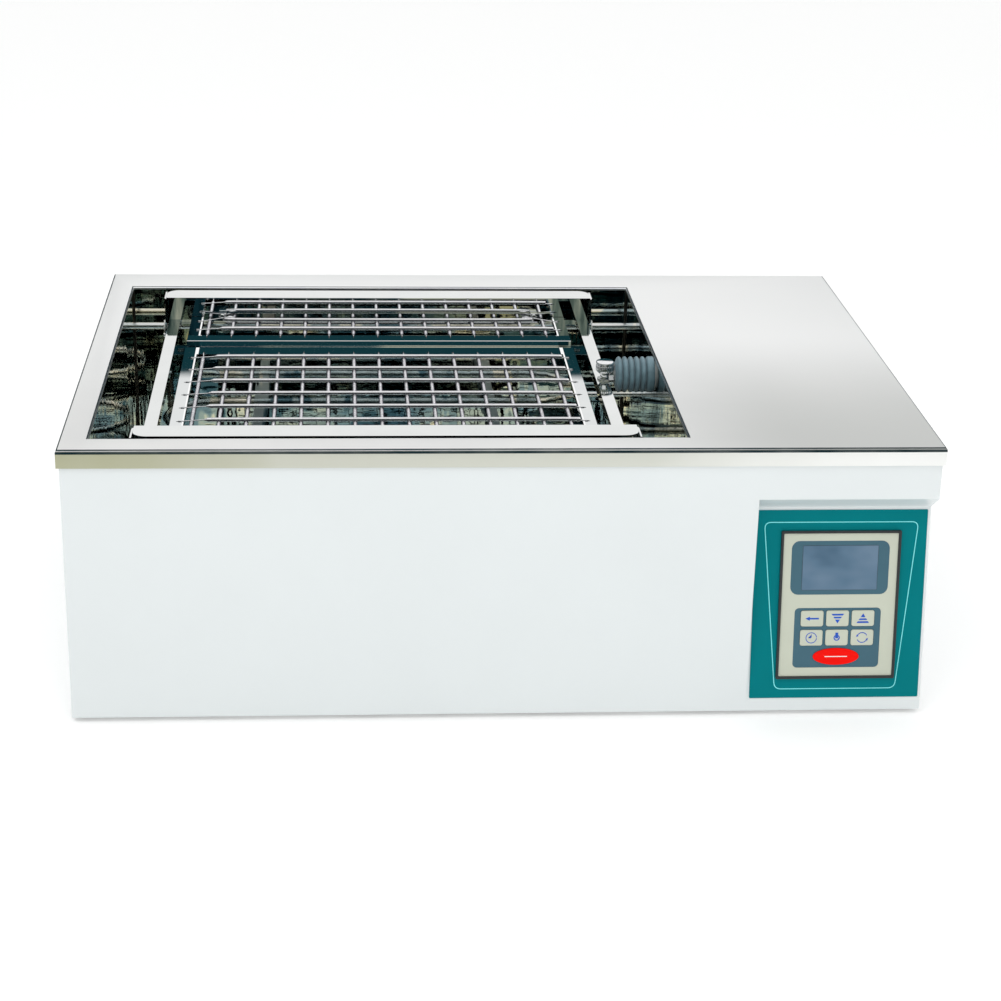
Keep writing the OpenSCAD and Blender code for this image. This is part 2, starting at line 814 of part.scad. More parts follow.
module front_rack_springs() {
  color("silver") {
    cross_springs_at(cross_y, spring_x0, spring_x1);
    long_springs_from(front_spring_y0, front_spring_y1);
  }
}

module front_rack_hooks() {
  y0 = front_spring_y0;
  y1 = front_spring_y1;
  reach = long_wire - gap;
  color("silver") {
    cross_hooks_at(cross_y, spring_x0, spring_x1);
    for (x = long_x) {
      hook([x, y0 + reach, long_z], [x, y0 + 1, hook_z], [x, y0 - slot_in, hook_z]);
      hook([x, y1 - reach, long_z], [x, y1 - 1, hook_z], [x, y1 + slot_in, hook_z]);
    }
  }
}

module back_rack_frame() {
  z0 = rack_z - rack_t;
  x0 = spring_x0;
  x1 = spring_x1;
  y0 = back_spring_y0;
  y1 = back_spring_y1;
  color("lightsteelblue") difference() {
    union() {
      block([rack_x0, back_rack_y0, z0], [rack_x1, back_rack_y1, rack_z]);
      block([x0 - rack_t, y0 - rack_t, z0 - rack_lip], [x1 + rack_t, back_rack_y1, z0 + eps]);
      block([rack_x0, back_rack_y0, z0 - rack_lip], [rack_x1, back_rack_y0 + rack_t, z0 + eps]);
      block([x0 - rack_t, y1, z0], [x1 + rack_t, back_rack_y1, rack_z + back_lip]);
    }
    block([x0, y0, z0 - 10], [x1, y1, rack_z + 1]);
    for (y = back_rows, x = [x0 - slot_in, x1 + slot_in]) slot_x(x, y);
    for (x = long_x) slot_y(x, y0 - slot_in);
  }
}

module back_rack_springs() {
  color("silver") {
    cross_springs_at(back_rows, spring_x0, spring_x1);
    long_springs_from(back_spring_y0, back_spring_y1);
  }
}

// The springs that run front to back end here in straight wires to the back lip.
module back_rack_hooks() {
  y0 = back_spring_y0;
  y1 = back_spring_y1;
  reach = long_wire - gap;
  color("silver") {
    cross_hooks_at(back_rows, spring_x0, spring_x1);
    for (x = long_x) {
      hook([x, y0 + reach, long_z], [x, y0 + 1, hook_z], [x, y0 - slot_in, hook_z]);
      bar([x, y1 - reach, long_z], [x, y1, long_z], hook_r, $fn = 10);
    }
  }
}

// Small screwed blocks on the back lip that hold the last spring off the web.
module rack_clamps() {
  half = 3.5;
  depth = 5;
  over = 1.3;
  top = rack_z + back_lip;
  color("silver")
    for (x = clamp_x) {
      block([x - half, back_spring_y1 - depth, rack_z + 0.1], [x + half, back_spring_y1, top + over]);
      block([x - half, back_spring_y1 - eps, top], [x + half, back_rack_y1, top + over]);
      // round screw head
      along_y([x, back_spring_y1 - depth - 1.5, rack_z + 3], 2, 1.6);
    }
}

// ---------- control panel ----------

module control_overlay() {
  w = case_x - recess_left - 5;
  h = panel_len - 5;
  color("teal") difference() {
    on_panel(panel_mid, panel_len/2, 0) round_plate(w, h, 1, 0.6);
    on_panel(panel_mid, frame_mid, -1)
      round_plate(frame_w - 2*frame_edge, frame_h - 2*frame_edge, 1, 5);
  }
}

module controller_frame() {
  color([0.1, 0.1, 0.1]) on_panel(panel_mid, frame_mid, 0) difference() {
    translate([0, 0, 0.6]) round_plate(frame_w, frame_h, 1, 2.4);
    translate([0, 0, -1]) round_plate(frame_w - 2*frame_edge, frame_h - 2*frame_edge, 1, 6);
  }
}

module membrane_panel() {
  color("beige") difference() {
    on_panel(panel_mid, frame_mid, 0)
      round_plate(frame_w - 2*frame_edge - 0.2, frame_h - 2*frame_edge - 0.2, 1, membrane_z);
    on_panel(panel_mid, display_v, -1) round_plate(66.9, 40.5, 1.5, 5);
    on_panel(panel_mid, pad_v, -1) round_plate(76.6, 54.7, 4, 5);
  }
}

module display_window() {
  color("slategray", 0.8)
    on_panel(panel_mid, display_v, 0.2) round_plate(66.7, 40.3, 1.4, membrane_z - 0.3);
}

// Tray behind the keys, with a pocket for each.
module keypad_surround() {
  color("slategray") difference() {
    on_panel(panel_mid, pad_v, -0.9) round_plate(76.4, 54.5, 3.9, membrane_z + 0.7);
    for (x = key_cols, v = key_rows)
      on_panel(panel_mid + x, v, 0.1) round_plate(key_w + 2*gap, key_h + 2*gap, 2 + gap, 5);
    on_panel(panel_mid, run_v, 0.1)
      scale([1, (run_h + 2*gap)/(run_w + 2*gap), 1]) cylinder(r = run_w/2 + gap, h = 5);
  }
}

// Key at column c and row r of the pad.
module pad_key(c, r) {
  on_panel(panel_mid + key_cols[c], key_rows[r], 0.2 + key_travel)
    round_plate(key_w, key_h, 2, key_out - 0.2 - key_travel);
}
module key_shift() { color("beige") pad_key(0, 0); }
module key_down() { color("beige") pad_key(1, 0); }
module key_up() { color("beige") pad_key(2, 0); }
module key_timer() { color("beige") pad_key(0, 1); }
module key_temperature() { color("beige") pad_key(1, 1); }
module key_speed() { color("beige") pad_key(2, 1); }
module key_run() {
  color("red") on_panel(panel_mid, run_v, 0.2 + key_travel)
    scale([1, run_h/run_w, 1]) cylinder(r = run_w/2, h = key_out - 0.2 - key_travel);
}

// The display and key board behind the panel, and the supply board on the base.
module circuit_boards() {
  base = case_z0 + sheet;
  board_z = 20;
  top = board_z + 1.5;
  color("darkgreen") on_panel(panel_mid, frame_mid, -16) {
    round_plate(107, 133, 2, 1.6);
    translate([-30, -40, -12]) cube([60, 30, 12.1]);
    for (x = [-50, 50], y = [-63, 63]) translate([x, y, 1.5]) cylinder(r = 3, h = 13.3);
    translate([-32, 14, 1.5]) cube([64, 38, 6]);
  }
  color("seagreen") {
    block([195, 120, board_z], [330, 215, board_z + 1.6]);
    block([205, 130, top], [255, 175, top + 38.5]);
    block([270, 135, top], [300, 165, top + 23.5]);
    for (x = [200, 325], y = [125, 210])
      translate([x, y, base]) cylinder(r = 3, h = board_z - base + 0.2);
    for (x = [272, 292, 312]) translate([x, 195, top]) cylinder(r = 8, h = 25);
  }
}

// Solid-state relay on a finned heat sink.
module heater_relay() {
  color("darkgray") {
    block([200, -215, case_z0 + sheet], [290, -135, 12]);
    for (i = [0:7]) block([202 + i*11.8, -215, 11.9], [204 + i*11.8, -135, 34]);
    block([222, -200, 33.9], [268, -150, 37]);
    block([222, -200, 36.9], [268, -150, 58]);
  }
}

// ---------- back panel fittings ----------

module fan_frame() {
  y1 = case_y - sheet;
  color([0.15, 0.15, 0.15]) {
    difference() {
      block([fan_x - 40, y1 - 25, fan_z - 40], [fan_x + 40, y1, fan_z + 40]);
      along_y([fan_x, y1 - 26, fan_z], fan_r, 30);
    }
    // hub carrier on four arms
    along_y([fan_x, y1 - 24.6, fan_z], 14, 3.8);
    for (a = [45:90:315])
      translate([fan_x, y1 - 24.2, fan_z]) rotate([0, a, 0]) block([12, 0, -2], [41, 3, 2]);
  }
}

module fan_rotor() {
  y0 = case_y - sheet - 20;
  color([0.25, 0.25, 0.25]) {
    difference() {
      along_y([fan_x, y0, fan_z], 15, 16);
      along_y([fan_x, y0 - 1, fan_z], 12, 4);
    }
    for (i = [0:6])
      translate([fan_x, y0 + 8, fan_z]) rotate([0, i*360/7, 0]) rotate([35, 0, 0])
        translate([13, -7, -0.9]) cube([22.5, 14, 1.8]);
  }
}

module switch_housing() {
  color([0.12, 0.12, 0.12]) difference() {
    union() {
      block([switch_x - 15.5, case_y, socket_z - 12.5],
            [switch_x + 15.5, case_y + 1.4, socket_z + 12.5]);
      block([switch_x - 13.4, case_y - 22, socket_z - 10.4],
            [switch_x + 13.4, case_y + eps, socket_z + 10.4]);
    }
    block([switch_x - 11.5, case_y - 14, socket_z - 8.8],
          [switch_x + 11.5, case_y + 5, socket_z + 8.8]);
    translate([switch_x, case_y - 6, socket_z - 10]) cylinder(r = 1.55, h = 20);
  }
}

module power_rocker() {
  color([0.2, 0.05, 0.05]) {
    intersection() {
      translate([switch_x, case_y - 6, socket_z - 8.4]) cylinder(r = 11, h = 16.8);
      block([switch_x - 10.2, case_y - 9, socket_z - 8.4],
            [switch_x + 10.2, case_y + 1.6, socket_z + 8.4]);
    }
    translate([switch_x, case_y - 6, socket_z - 9.8]) cylinder(r = 1.5, h = 19.6);
  }
}

module mains_inlet() {
  color([0.12, 0.12, 0.12]) difference() {
    union() {
      block([inlet_x - 24, case_y, socket_z - 12], [inlet_x + 24, case_y + 1.8, socket_z + 12]);
      block([inlet_x - 13.9, case_y - 20, socket_z - 10.4],
            [inlet_x + 13.9, case_y + eps, socket_z + 10.4]);
    }
    block([inlet_x - 12, case_y - 17, socket_z - 8.2], [inlet_x + 12, case_y + 5, socket_z + 8.2]);
  }
  color("silver")
    for (p = [[-7, -1.5], [0, 2.5], [7, -1.5]])
      block([inlet_x + p[0] - 1, case_y - 17.5, socket_z + p[1] - 2],
            [inlet_x + p[0] + 1, case_y - 3, socket_z + p[1] + 2]);
}

module drain_box() {
  color([0.2, 0.2, 0.2]) difference() {
    block([-340, case_y - 40, 7], [-250, case_y - eps, 39.5]);
    block([-338.8, case_y - 38.8, 8.2], [-251.2, case_y + 5, 38.3]);
    along_y([drain_x, case_y - 45, drain_z], 6, 10);
  }
}

// From the bath's floor down and back to the valve.
module drain_pipe() {
  color("silver") difference() {
    union() {
      translate([drain_x, drain_y, drain_z]) cylinder(r = 5.95, h = bath_floor - drain_z);
      translate([drain_x, drain_y, drain_z]) sphere(5.95);
      along_y([drain_x, drain_y, drain_z], 5.95, case_y - 34 - drain_y);
    }
    translate([drain_x, drain_y, drain_z]) cylinder(r = drain_bore_r, h = 40);
    translate([drain_x, drain_y, drain_z]) sphere(drain_bore_r);
    along_y([drain_x, drain_y, drain_z], drain_bore_r, 60);
  }
}

module drain_valve() {
  y0 = case_y - 34;
  color("goldenrod") difference() {
    union() {
      along_y([drain_x, y0, drain_z], 8, 17);
      along_y([drain_x, y0 + 16, drain_z], 6, case_y - y0 - 16);
      translate([drain_x, valve_y, drain_z]) cylinder(r = 4.5, h = 10);
    }
    along_y([drain_x, y0 - 1, drain_z], drain_bore_r, 60);
    translate([drain_x, valve_y, drain_z + 5]) cylinder(r = 2.55, h = 10);
  }
}

module drain_handle() {
  z = drain_z + 10 + gap;
  color("crimson") {
    translate([drain_x, valve_y, drain_z + 6]) cylinder(r = 2.5, h = 6);
    translate([drain_x, valve_y, z]) cylinder(r = 4.6, h = 4);
    block([drain_x - 11.5, valve_y - 2.5, z], [drain_x + 11.5, valve_y + 2.5, z + 4]);
  }
}

// Screws that hold the back panel, the fan and the inlet.
module case_screws() {
  module head(x, z) {
    translate([x, case_y, z]) rotate([-90, 0, 0]) cylinder(r = 3, h = 1.6);
  }
  color("silver") {
    for (x = [-360, -180, 0, 165, 360], z = [16, 230]) head(x, z);
    for (x = [-35.8, 35.8], z = [-35.8, 35.8]) head(fan_x + x, fan_z + z);
    for (x = [-20, 20])
      translate([inlet_x + x, case_y + 1.8, socket_z]) rotate([-90, 0, 0]) cylinder(r = 2.2, h = 0.4);
  }
}

// ---------- assembly ----------

case_shell();
base_pan();
back_panel();
feet();
deck();
tub();
tub_insulation();
bulkhead();
guide_rods();
rod_cap_nuts();
heater_legs();
heater_bends();
heater_rests();
tank_glands();
temp_probe();
wall_bush();
drive_plate();
gearbox();
motor();
shaft_bush();
control_overlay();
controller_frame();
membrane_panel();
display_window();
keypad_surround();
circuit_boards();
heater_relay();
fan_frame();
switch_housing();
mains_inlet();
drain_box();
drain_pipe();
drain_valve();
case_screws();
carriage_frame();
rack_beam();
rod_bushes();
carriage_nuts();
push_rod();
bellows();
thumb_screw();
front_rack_frame();
front_rack_springs();
front_rack_hooks();
back_rack_frame();
back_rack_springs();
back_rack_hooks();
rack_clamps();
crank();
con_rod();
fan_rotor();
power_rocker();
drain_handle();
key_shift();
key_down();
key_up();
key_timer();
key_temperature();
key_speed();
key_run();
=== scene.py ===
"""Looks of a reciprocating shaking water bath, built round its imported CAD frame.

Metres, +Z up, front towards -Y. Every place on it is worked out from the CAD nodes' own boxes.
"""

import json
import math

import bmesh
import bpy
from mathutils import Matrix, Vector
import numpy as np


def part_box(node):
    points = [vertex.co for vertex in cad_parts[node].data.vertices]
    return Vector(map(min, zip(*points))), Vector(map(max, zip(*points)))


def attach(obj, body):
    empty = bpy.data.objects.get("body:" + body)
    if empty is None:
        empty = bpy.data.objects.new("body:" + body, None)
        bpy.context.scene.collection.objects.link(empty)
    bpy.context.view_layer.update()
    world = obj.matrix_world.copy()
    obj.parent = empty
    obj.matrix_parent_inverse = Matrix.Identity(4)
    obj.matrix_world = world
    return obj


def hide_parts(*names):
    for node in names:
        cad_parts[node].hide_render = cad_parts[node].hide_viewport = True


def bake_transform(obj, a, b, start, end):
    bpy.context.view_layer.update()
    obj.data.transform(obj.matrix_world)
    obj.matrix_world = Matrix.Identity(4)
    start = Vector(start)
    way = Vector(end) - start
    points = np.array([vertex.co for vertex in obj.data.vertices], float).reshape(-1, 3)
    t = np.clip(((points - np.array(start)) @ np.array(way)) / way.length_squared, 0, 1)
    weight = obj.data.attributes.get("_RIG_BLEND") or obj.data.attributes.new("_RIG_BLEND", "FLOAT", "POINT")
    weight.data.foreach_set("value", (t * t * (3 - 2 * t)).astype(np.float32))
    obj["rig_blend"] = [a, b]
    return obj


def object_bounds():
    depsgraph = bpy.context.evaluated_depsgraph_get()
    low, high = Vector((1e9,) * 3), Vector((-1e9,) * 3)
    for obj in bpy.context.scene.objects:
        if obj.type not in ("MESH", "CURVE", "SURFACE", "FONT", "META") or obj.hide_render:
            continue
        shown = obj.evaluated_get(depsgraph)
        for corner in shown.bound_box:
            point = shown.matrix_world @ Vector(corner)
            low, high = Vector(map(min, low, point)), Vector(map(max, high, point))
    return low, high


MM = 0.001
STRIP = 12 * MM  # width of the side strips of both rack frames
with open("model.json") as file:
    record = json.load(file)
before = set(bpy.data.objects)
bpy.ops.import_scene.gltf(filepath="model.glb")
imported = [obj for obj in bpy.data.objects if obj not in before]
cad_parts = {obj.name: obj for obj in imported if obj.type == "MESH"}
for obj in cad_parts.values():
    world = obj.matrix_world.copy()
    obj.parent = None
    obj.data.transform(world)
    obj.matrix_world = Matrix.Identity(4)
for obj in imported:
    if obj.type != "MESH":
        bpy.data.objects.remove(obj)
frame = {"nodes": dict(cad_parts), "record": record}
cad_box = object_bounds()


# ---------------------------------------------------------------- meshes


def make_object(name, verts, faces, body, material, smooth=40):
    """A mesh object from points and faces, shaded smooth below an angle, riding on a body."""
    mesh = bpy.data.meshes.new(name)
    mesh.from_pydata([tuple(v) for v in verts], [], faces)
    mesh.validate()
    return place_mesh(name, mesh, body, material, smooth)


def place_mesh(name, mesh, body, material, smooth=40):
    """Makes an object of a mesh: clean normals, a shading angle, a material and a body."""
    work = bmesh.new()
    work.from_mesh(mesh)
    bmesh.ops.recalc_face_normals(work, faces=work.faces)
    work.to_mesh(mesh)
    work.free()
    obj = bpy.data.objects.new(name, mesh)
    bpy.context.scene.collection.objects.link(obj)
    mesh.materials.clear()
    mesh.materials.append(material)
    shade(obj, smooth)
    if body:
        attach(obj, body)
    return obj


def shade(obj, angle):
    """Smooth shading, with edges sharper than the angle kept sharp."""
    mesh = obj.data
    work = bmesh.new()
    work.from_mesh(mesh)
    for face in work.faces:
        face.smooth = True
    limit = math.radians(angle)
    for edge in work.edges:
        edge.smooth = len(edge.link_faces) == 2 and edge.calc_face_angle(0) < limit
    work.to_mesh(mesh)
    work.free()


def refined(node, body, slot, material, width=0.4, segments=2, top_material=None):
    """A copy of a CAD node with its flat faces whole again and its edges rounded by width mm.
    Faces that look up can take a finish of their own."""
    mesh = frame["nodes"][node].data.copy()
    for attribute in [a.name for a in mesh.attributes if a.name == "custom_normal"]:
        mesh.attributes.remove(mesh.attributes[attribute])
    work = bmesh.new()
    work.from_mesh(mesh)
    bmesh.ops.remove_doubles(work, verts=work.verts, dist=0.002 * MM)
    bmesh.ops.dissolve_limit(
        work, angle_limit=math.radians(0.3), verts=work.verts, edges=work.edges
    )
    work.to_mesh(mesh)
    work.free()
    obj = bpy.data.objects.new(node + "_finished", mesh)
    bpy.context.scene.collection.objects.link(obj)
    mesh.materials.clear()
    mesh.materials.append(material)
    if top_material:
        mesh.materials.append(top_material)
        for polygon in mesh.polygons:
            polygon.material_index = 1 if polygon.normal.z > 0.7 else 0
    shade(obj, 40)
    bevel = obj.modifiers.new("edges", "BEVEL")
    bevel.width = width * MM
    bevel.segments = segments
    bevel.limit_method = "ANGLE"
    bevel.angle_limit = math.radians(30)
    weighted = obj.modifiers.new("flat_faces", "WEIGHTED_NORMAL")
    weighted.weight = 100
    weighted.keep_sharp = True
    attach(obj, body)
    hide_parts(node)
    return obj


def lathe(profile, centre, axis, sides, ribs=0, rib_depth=0.0, ribbed=()):
    """Turns a closed (radius, height) outline round an axis. The outline's points whose places
    are in ribbed are knurled."""
    turn = Vector((0, 0, 1)).rotation_difference(Vector(axis)).to_matrix()
    verts, faces = [], []
    count = len(profile)
    for i in range(sides):
        angle = math.tau * i / sides
        wave = rib_depth * (0.5 + 0.5 * math.cos(ribs * angle)) if ribs else 0.0
        for k, (r, h) in enumerate(profile):
            radius = r - (wave if k in ribbed else 0.0)
            local = Vector((radius * math.cos(angle), radius * math.sin(angle), h))
            verts.append(Vector(centre) + turn @ local)
    for i in range(sides):
        for k in range(count):
            a, b = i * count, ((i + 1) % sides) * count
            n = (k + 1) % count
            faces.append((a + k, b + k, b + n, a + n))
    return verts, faces


def tube(points, radius, sides=6):
    """Vertices and faces of a closed round bar swept along a list of points."""
    points = [Vector(p) for p in points]
    verts, faces = [], []
    last = len(points) - 1
    across = None
    for i, p in enumerate(points):
        tangent = (points[min(i + 1, last)] - points[max(i - 1, 0)]).normalized()
        if across is None:
            across = tangent.orthogonal().normalized()
        across = (across - tangent * across.dot(tangent)).normalized()
        other = tangent.cross(across)
        for k in range(sides):
            angle = math.tau * k / sides
            verts.append(p + (across * math.cos(angle) + other * math.sin(angle)) * radius)
    for i in range(last):
        for k in range(sides):
            a, b = i * sides, (i + 1) * sides
            n = (k + 1) % sides
            faces.append((a + k, a + n, b + n, b + k))
    faces.append(tuple(reversed(range(sides))))
    faces.append(tuple(last * sides + k for k in range(sides)))
    return verts, faces


def rounded(points, step):
    """Points along a Catmull-Rom curve through the given ones, about a step apart."""
    points = [Vector(p) for p in points]
    padded = [points[0] * 2 - points[1], *points, points[-1] * 2 - points[-2]]
    result = []
    for i in range(1, len(padded) - 2):
        p0, p1, p2, p3 = padded[i - 1 : i + 3]
        count = max(2, math.ceil((p2 - p1).length / step))
        for k in range(count):
            t = k / count
            result.append(
                0.5
                * (
                    2 * p1
                    + (p2 - p0) * t
                    + (2 * p0 - 5 * p1 + 4 * p2 - p3) * t * t
                    + (3 * p1 - p0 - 3 * p2 + p3) * t**3
                )
            )
    result.append(points[-1])
    return result


def ring_shell(name, loops, body, material, smooth=40):
    """A closed shell from a ring of four-cornered loops, the last joined to the first."""
    verts = [corner for loop in loops for corner in loop]
    faces = []
    count = len(loops)
    for i in range(count):
        a, b = i * 4, ((i + 1) % count) * 4
        for k in range(4):
            n = (k + 1) % 4
            faces.append((a + k, a + n, b + n, b + k))
    return make_object(name, verts, faces, body, material, smooth)


def rectangle(x0, y0, x1, y1, z):
    """The four corners of a level rectangle."""
    return [(x0, y0, z), (x1, y0, z), (x1, y1, z), (x0, y1, z)]


# ---------------------------------------------------------------- materials


# How noise is stretched to look like lines rolled or brushed along an axis.
BRUSH_X = (0.03, 1, 1)
BRUSH_Y = (1, 0.03, 1)


def add(tree, kind, values=None, **settings):
    """A shader node with its settings and its input values."""
    made = tree.nodes.new(kind)
    for key, value in settings.items():
        setattr(made, key, value)
    for key, value in (values or {}).items():
        made.inputs[key].default_value = value
    return made


def ramp(tree, source, stops):
    """A colour ramp fed by a socket. stops are (place, colour)."""
    made = tree.nodes.new("ShaderNodeValToRGB")
    while len(made.color_ramp.elements) < len(stops):
        made.color_ramp.elements.new(0.5)
    for element, (place, colour) in zip(made.color_ramp.elements, stops, strict=True):
        element.position = place
        element.color = (*colour, 1)
    tree.links.new(source, made.inputs[0])
    return made.outputs[0]


def noise(tree, scale, stretch=(1, 1, 1), detail=4.0, roughness=0.55):
    """A noise texture in the object's own metres, stretched along its axes."""
    where = add(tree, "ShaderNodeTexCoord")
    mapping = add(tree, "ShaderNodeMapping", {"Scale": stretch})
    made = add(
        tree, "ShaderNodeTexNoise", {"Scale": scale, "Detail": detail, "Roughness": roughness}
    )
    tree.links.new(where.outputs["Object"], mapping.inputs["Vector"])
    tree.links.new(mapping.outputs[0], made.inputs["Vector"])
    return made.outputs[0]


def span(tree, source, low, high):
    """Maps a 0 to 1 socket onto low to high."""
    made = add(tree, "ShaderNodeMapRange", {"To Min": low, "To Max": high})
    tree.links.new(source, made.inputs["Value"])
    return made.outputs[0]


def bumped(tree, shader, layers, before=None):
    """Chains bump nodes from (height socket, strength, distance in metres) into a shader."""
    for height, strength, distance in layers:
        made = add(tree, "ShaderNodeBump", {"Strength": strength, "Distance": distance})
        tree.links.new(height, made.inputs["Height"])
        if before:
            tree.links.new(before, made.inputs["Normal"])
        before = made.outputs[0]
    if before:
        tree.links.new(before, shader.inputs["Normal"])


def leaning(tree, lean, where=None):
    """The surface's normal, leant towards the front so that level steel mirrors the ceiling.
    where is a 0 to 1 socket that says how much of the lean each place gets."""
    surface = add(tree, "ShaderNodeNewGeometry")
    added = add(tree, "ShaderNodeVectorMath", {1: (0, -lean, 0)}, operation="ADD")
    unit = add(tree, "ShaderNodeVectorMath", operation="NORMALIZE")
    if where:
        part = add(tree, "ShaderNodeVectorMath", {0: (0, -lean, 0)}, operation="SCALE")
        tree.links.new(where, part.inputs["Scale"])
        tree.links.new(part.outputs[0], added.inputs[1])
    tree.links.new(surface.outputs["Normal"], added.inputs[0])
    tree.links.new(added.outputs[0], unit.inputs[0])
    return unit.outputs[0]


def axis_ramp(tree, axis, start, end, low=0.0, high=1.0):
    """Maps a place along one of the object's axes, in metres, onto low to high."""
    where = add(tree, "ShaderNodeTexCoord")
    parts = add(tree, "ShaderNodeSeparateXYZ")
    made = add(
        tree,
        "ShaderNodeMapRange",
        {"From Min": start, "From Max": end, "To Min": low, "To Max": high},
        interpolation_type="SMOOTHSTEP",
    )
    tree.links.new(where.outputs["Object"], parts.inputs[0])
    tree.links.new(parts.outputs[axis], made.inputs["Value"])
    return made.outputs[0]


def combined(tree, operation, a, b):
    """Two sockets put together by a maths operation."""
    made = add(tree, "ShaderNodeMath", operation=operation)
    tree.links.new(a, made.inputs[0])
    tree.links.new(b, made.inputs[1])
    return made.outputs[0]


def within(tree, axis, start, end, soft=0.15 * MM):
    """A socket that is 1 between two places along an axis, and 0 outside them."""
    return combined(
        tree,
        "MULTIPLY",
        axis_ramp(tree, axis, start - soft, start + soft),
        axis_ramp(tree, axis, end + soft, end - soft),
    )


def mixed(tree, factor, a, b):
    """A colour between a and b, each a socket or a colour."""
    made = add(tree, "ShaderNodeMix", data_type="RGBA")
    tree.links.new(factor, made.inputs["Factor"])
    for name, value in (("A", a), ("B", b)):
        if isinstance(value, tuple):
            made.inputs[name].default_value = (*value, 1)
        else:
            tree.links.new(value, made.inputs[name])
    return made.outputs["Result"]


def new_material(name, **sockets):
    """An empty node material with a Principled shader, whose sockets are set by name."""
    material = bpy.data.materials.new(name)
    material.use_nodes = True
    tree = material.node_tree
    shader = tree.nodes["Principled BSDF"]
    for key, value in sockets.items():
        shader.inputs[key.replace("_", " ")].default_value = value
    return material, tree, shader


def tint(colour, factor):
    """A colour made lighter or darker."""
    return tuple(min(1.0, c * factor) for c in colour)


def solid(
    name,
    colour,
    rough,
    metallic=0.0,
    mottle=0.06,
    mottle_scale=25,
    grain_scale=900,
    stretch=(1, 1, 1),
    grain=0.12,
    depth=0.05,
    wave=0.0,
    wave_scale=20,
    wave_depth=0.5,
    rough_spread=0.06,
    **sockets,
):
    """A finish with mottled colour, uneven roughness, a fine grain and a broad waviness."""
    material, tree, shader = new_material(name, Metallic=metallic, **sockets)
    clouds = noise(tree, mottle_scale)
    colours = ramp(
        tree, clouds, [(0.3, tint(colour, 1 - mottle)), (0.7, tint(colour, 1 + mottle))]
    )
    tree.links.new(colours, shader.inputs["Base Color"])
    fine = noise(tree, grain_scale, stretch)
    low, high = max(0.02, rough - rough_spread), rough + rough_spread
    tree.links.new(span(tree, fine, low, high), shader.inputs["Roughness"])
    layers = []
    if wave:
        layers.append((noise(tree, wave_scale, detail=2.0), wave, wave_depth * MM))
    if grain:
        layers.append((fine, grain, depth * MM))
    bumped(tree, shader, layers)
    return material


def deck_steel():
    """Polished sheet with soft reflections, painted into its colour: lighter towards the back, and darker at
    the left and the front right corner by painted shade. Its lip's colour goes from olive at the left to
    white at the right as painted reflection, and the lip is edged with two painted dark reflection lines."""
    material, tree, shader = new_material("deck_steel", Metallic=1.0)
    low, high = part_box("deck")
    top = high.z
    clouds = noise(tree, 6, detail=3.0)
    front = ramp(tree, clouds, [(0.35, (0.78, 0.785, 0.78)), (0.65, (0.84, 0.84, 0.83))])
    # Painted reflection: the sheet is lighter towards the back.
    back = axis_ramp(tree, "Y", low.y + 40 * MM, low.y + 330 * MM)
    plain = mixed(tree, back, front, (0.93, 0.935, 0.93))
    # Painted shade: darker at the left and at the front right corner.
    shade_left = axis_ramp(tree, "X", low.x + 60 * MM, low.x, 0, 0.12)
    shade_corner = combined(
        tree,
        "MULTIPLY",
        axis_ramp(tree, "X", high.x - 260 * MM, high.x - 120 * MM),
        axis_ramp(tree, "Y", low.y + 330 * MM, low.y + 10 * MM),
    )
    shaded = combined(tree, "MAXIMUM", shade_left, shade_corner)
    plain = mixed(tree, shaded, plain, (0.62, 0.63, 0.615))
    # Painted reflection on the lip: olive at the left to white at the right.
    places = combined(
        tree,
        "ADD",
        axis_ramp(tree, "X", low.x, high.x, 0.0, 0.86),
        span(tree, noise(tree, 9, (1, 0.4, 0.4), detail=2.0), 0.0, 0.14),
    )
    lip = ramp(
        tree,
        places,
        [(0.06, (0.45, 0.45, 0.31)), (0.2, (0.60, 0.605, 0.53)), (0.7, (0.66, 0.67, 0.61)),
         (0.92, (0.92, 0.925, 0.91))],
    )
    below = axis_ramp(tree, "Z", top - 1.8 * MM, top - 3.0 * MM)
    steel = mixed(tree, below, plain, lip)
    # Painted dark reflection lines: one along the top bend, one a little below it on the lip.
    edge = within(tree, "Z", top - 3.95 * MM, top - 1.7 * MM, 0.22 * MM)
    bend = within(tree, "Z", top - 0.9 * MM, top - 0.12 * MM, 0.08 * MM)
    breaks = span(tree, noise(tree, 18, (1, 0.3, 0.3), detail=3.0), 0.75, 1.15)
    dark = combined(tree, "MULTIPLY", combined(tree, "MAXIMUM", edge, bend), breaks)
    tree.links.new(mixed(tree, dark, steel, (0.012, 0.03, 0.036)), shader.inputs["Base Color"])
    brush = noise(tree, 900, BRUSH_X)
    tree.links.new(span(tree, brush, 0.40, 0.46), shader.inputs["Roughness"])
    dents = noise(tree, 7, detail=1.5)
    layers = [(dents, 0.5, 1.6 * MM), (brush, 0.03, 0.02 * MM)]
    bumped(tree, shader, layers, leaning(tree, 0.12))
    return material


def rim_steel():
    """The bend that turns down into the bath, coloured brighter than the deck as a painted highlight, under
    a thin painted dark line.
    """
    material, tree, shader = new_material("rim_steel", Metallic=1.0, Roughness=0.3)
    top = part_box("deck")[1].z
    # Painted dark line along the top of the bend, and a painted highlight below it.
    below = axis_ramp(tree, "Z", top - 0.25 * MM, top - 0.55 * MM)
    soft = noise(tree, 30, (1, 1, 0.3), detail=2.0)
    bright = ramp(tree, soft, [(0.3, (0.86, 0.86, 0.93)), (0.7, (1.0, 1.0, 1.0))])
    tree.links.new(mixed(tree, below, (0.10, 0.13, 0.14), bright), shader.inputs["Base Color"])
    bumped(tree, shader, [(soft, 0.1, 0.5 * MM)], leaning(tree, -0.35))
    return material


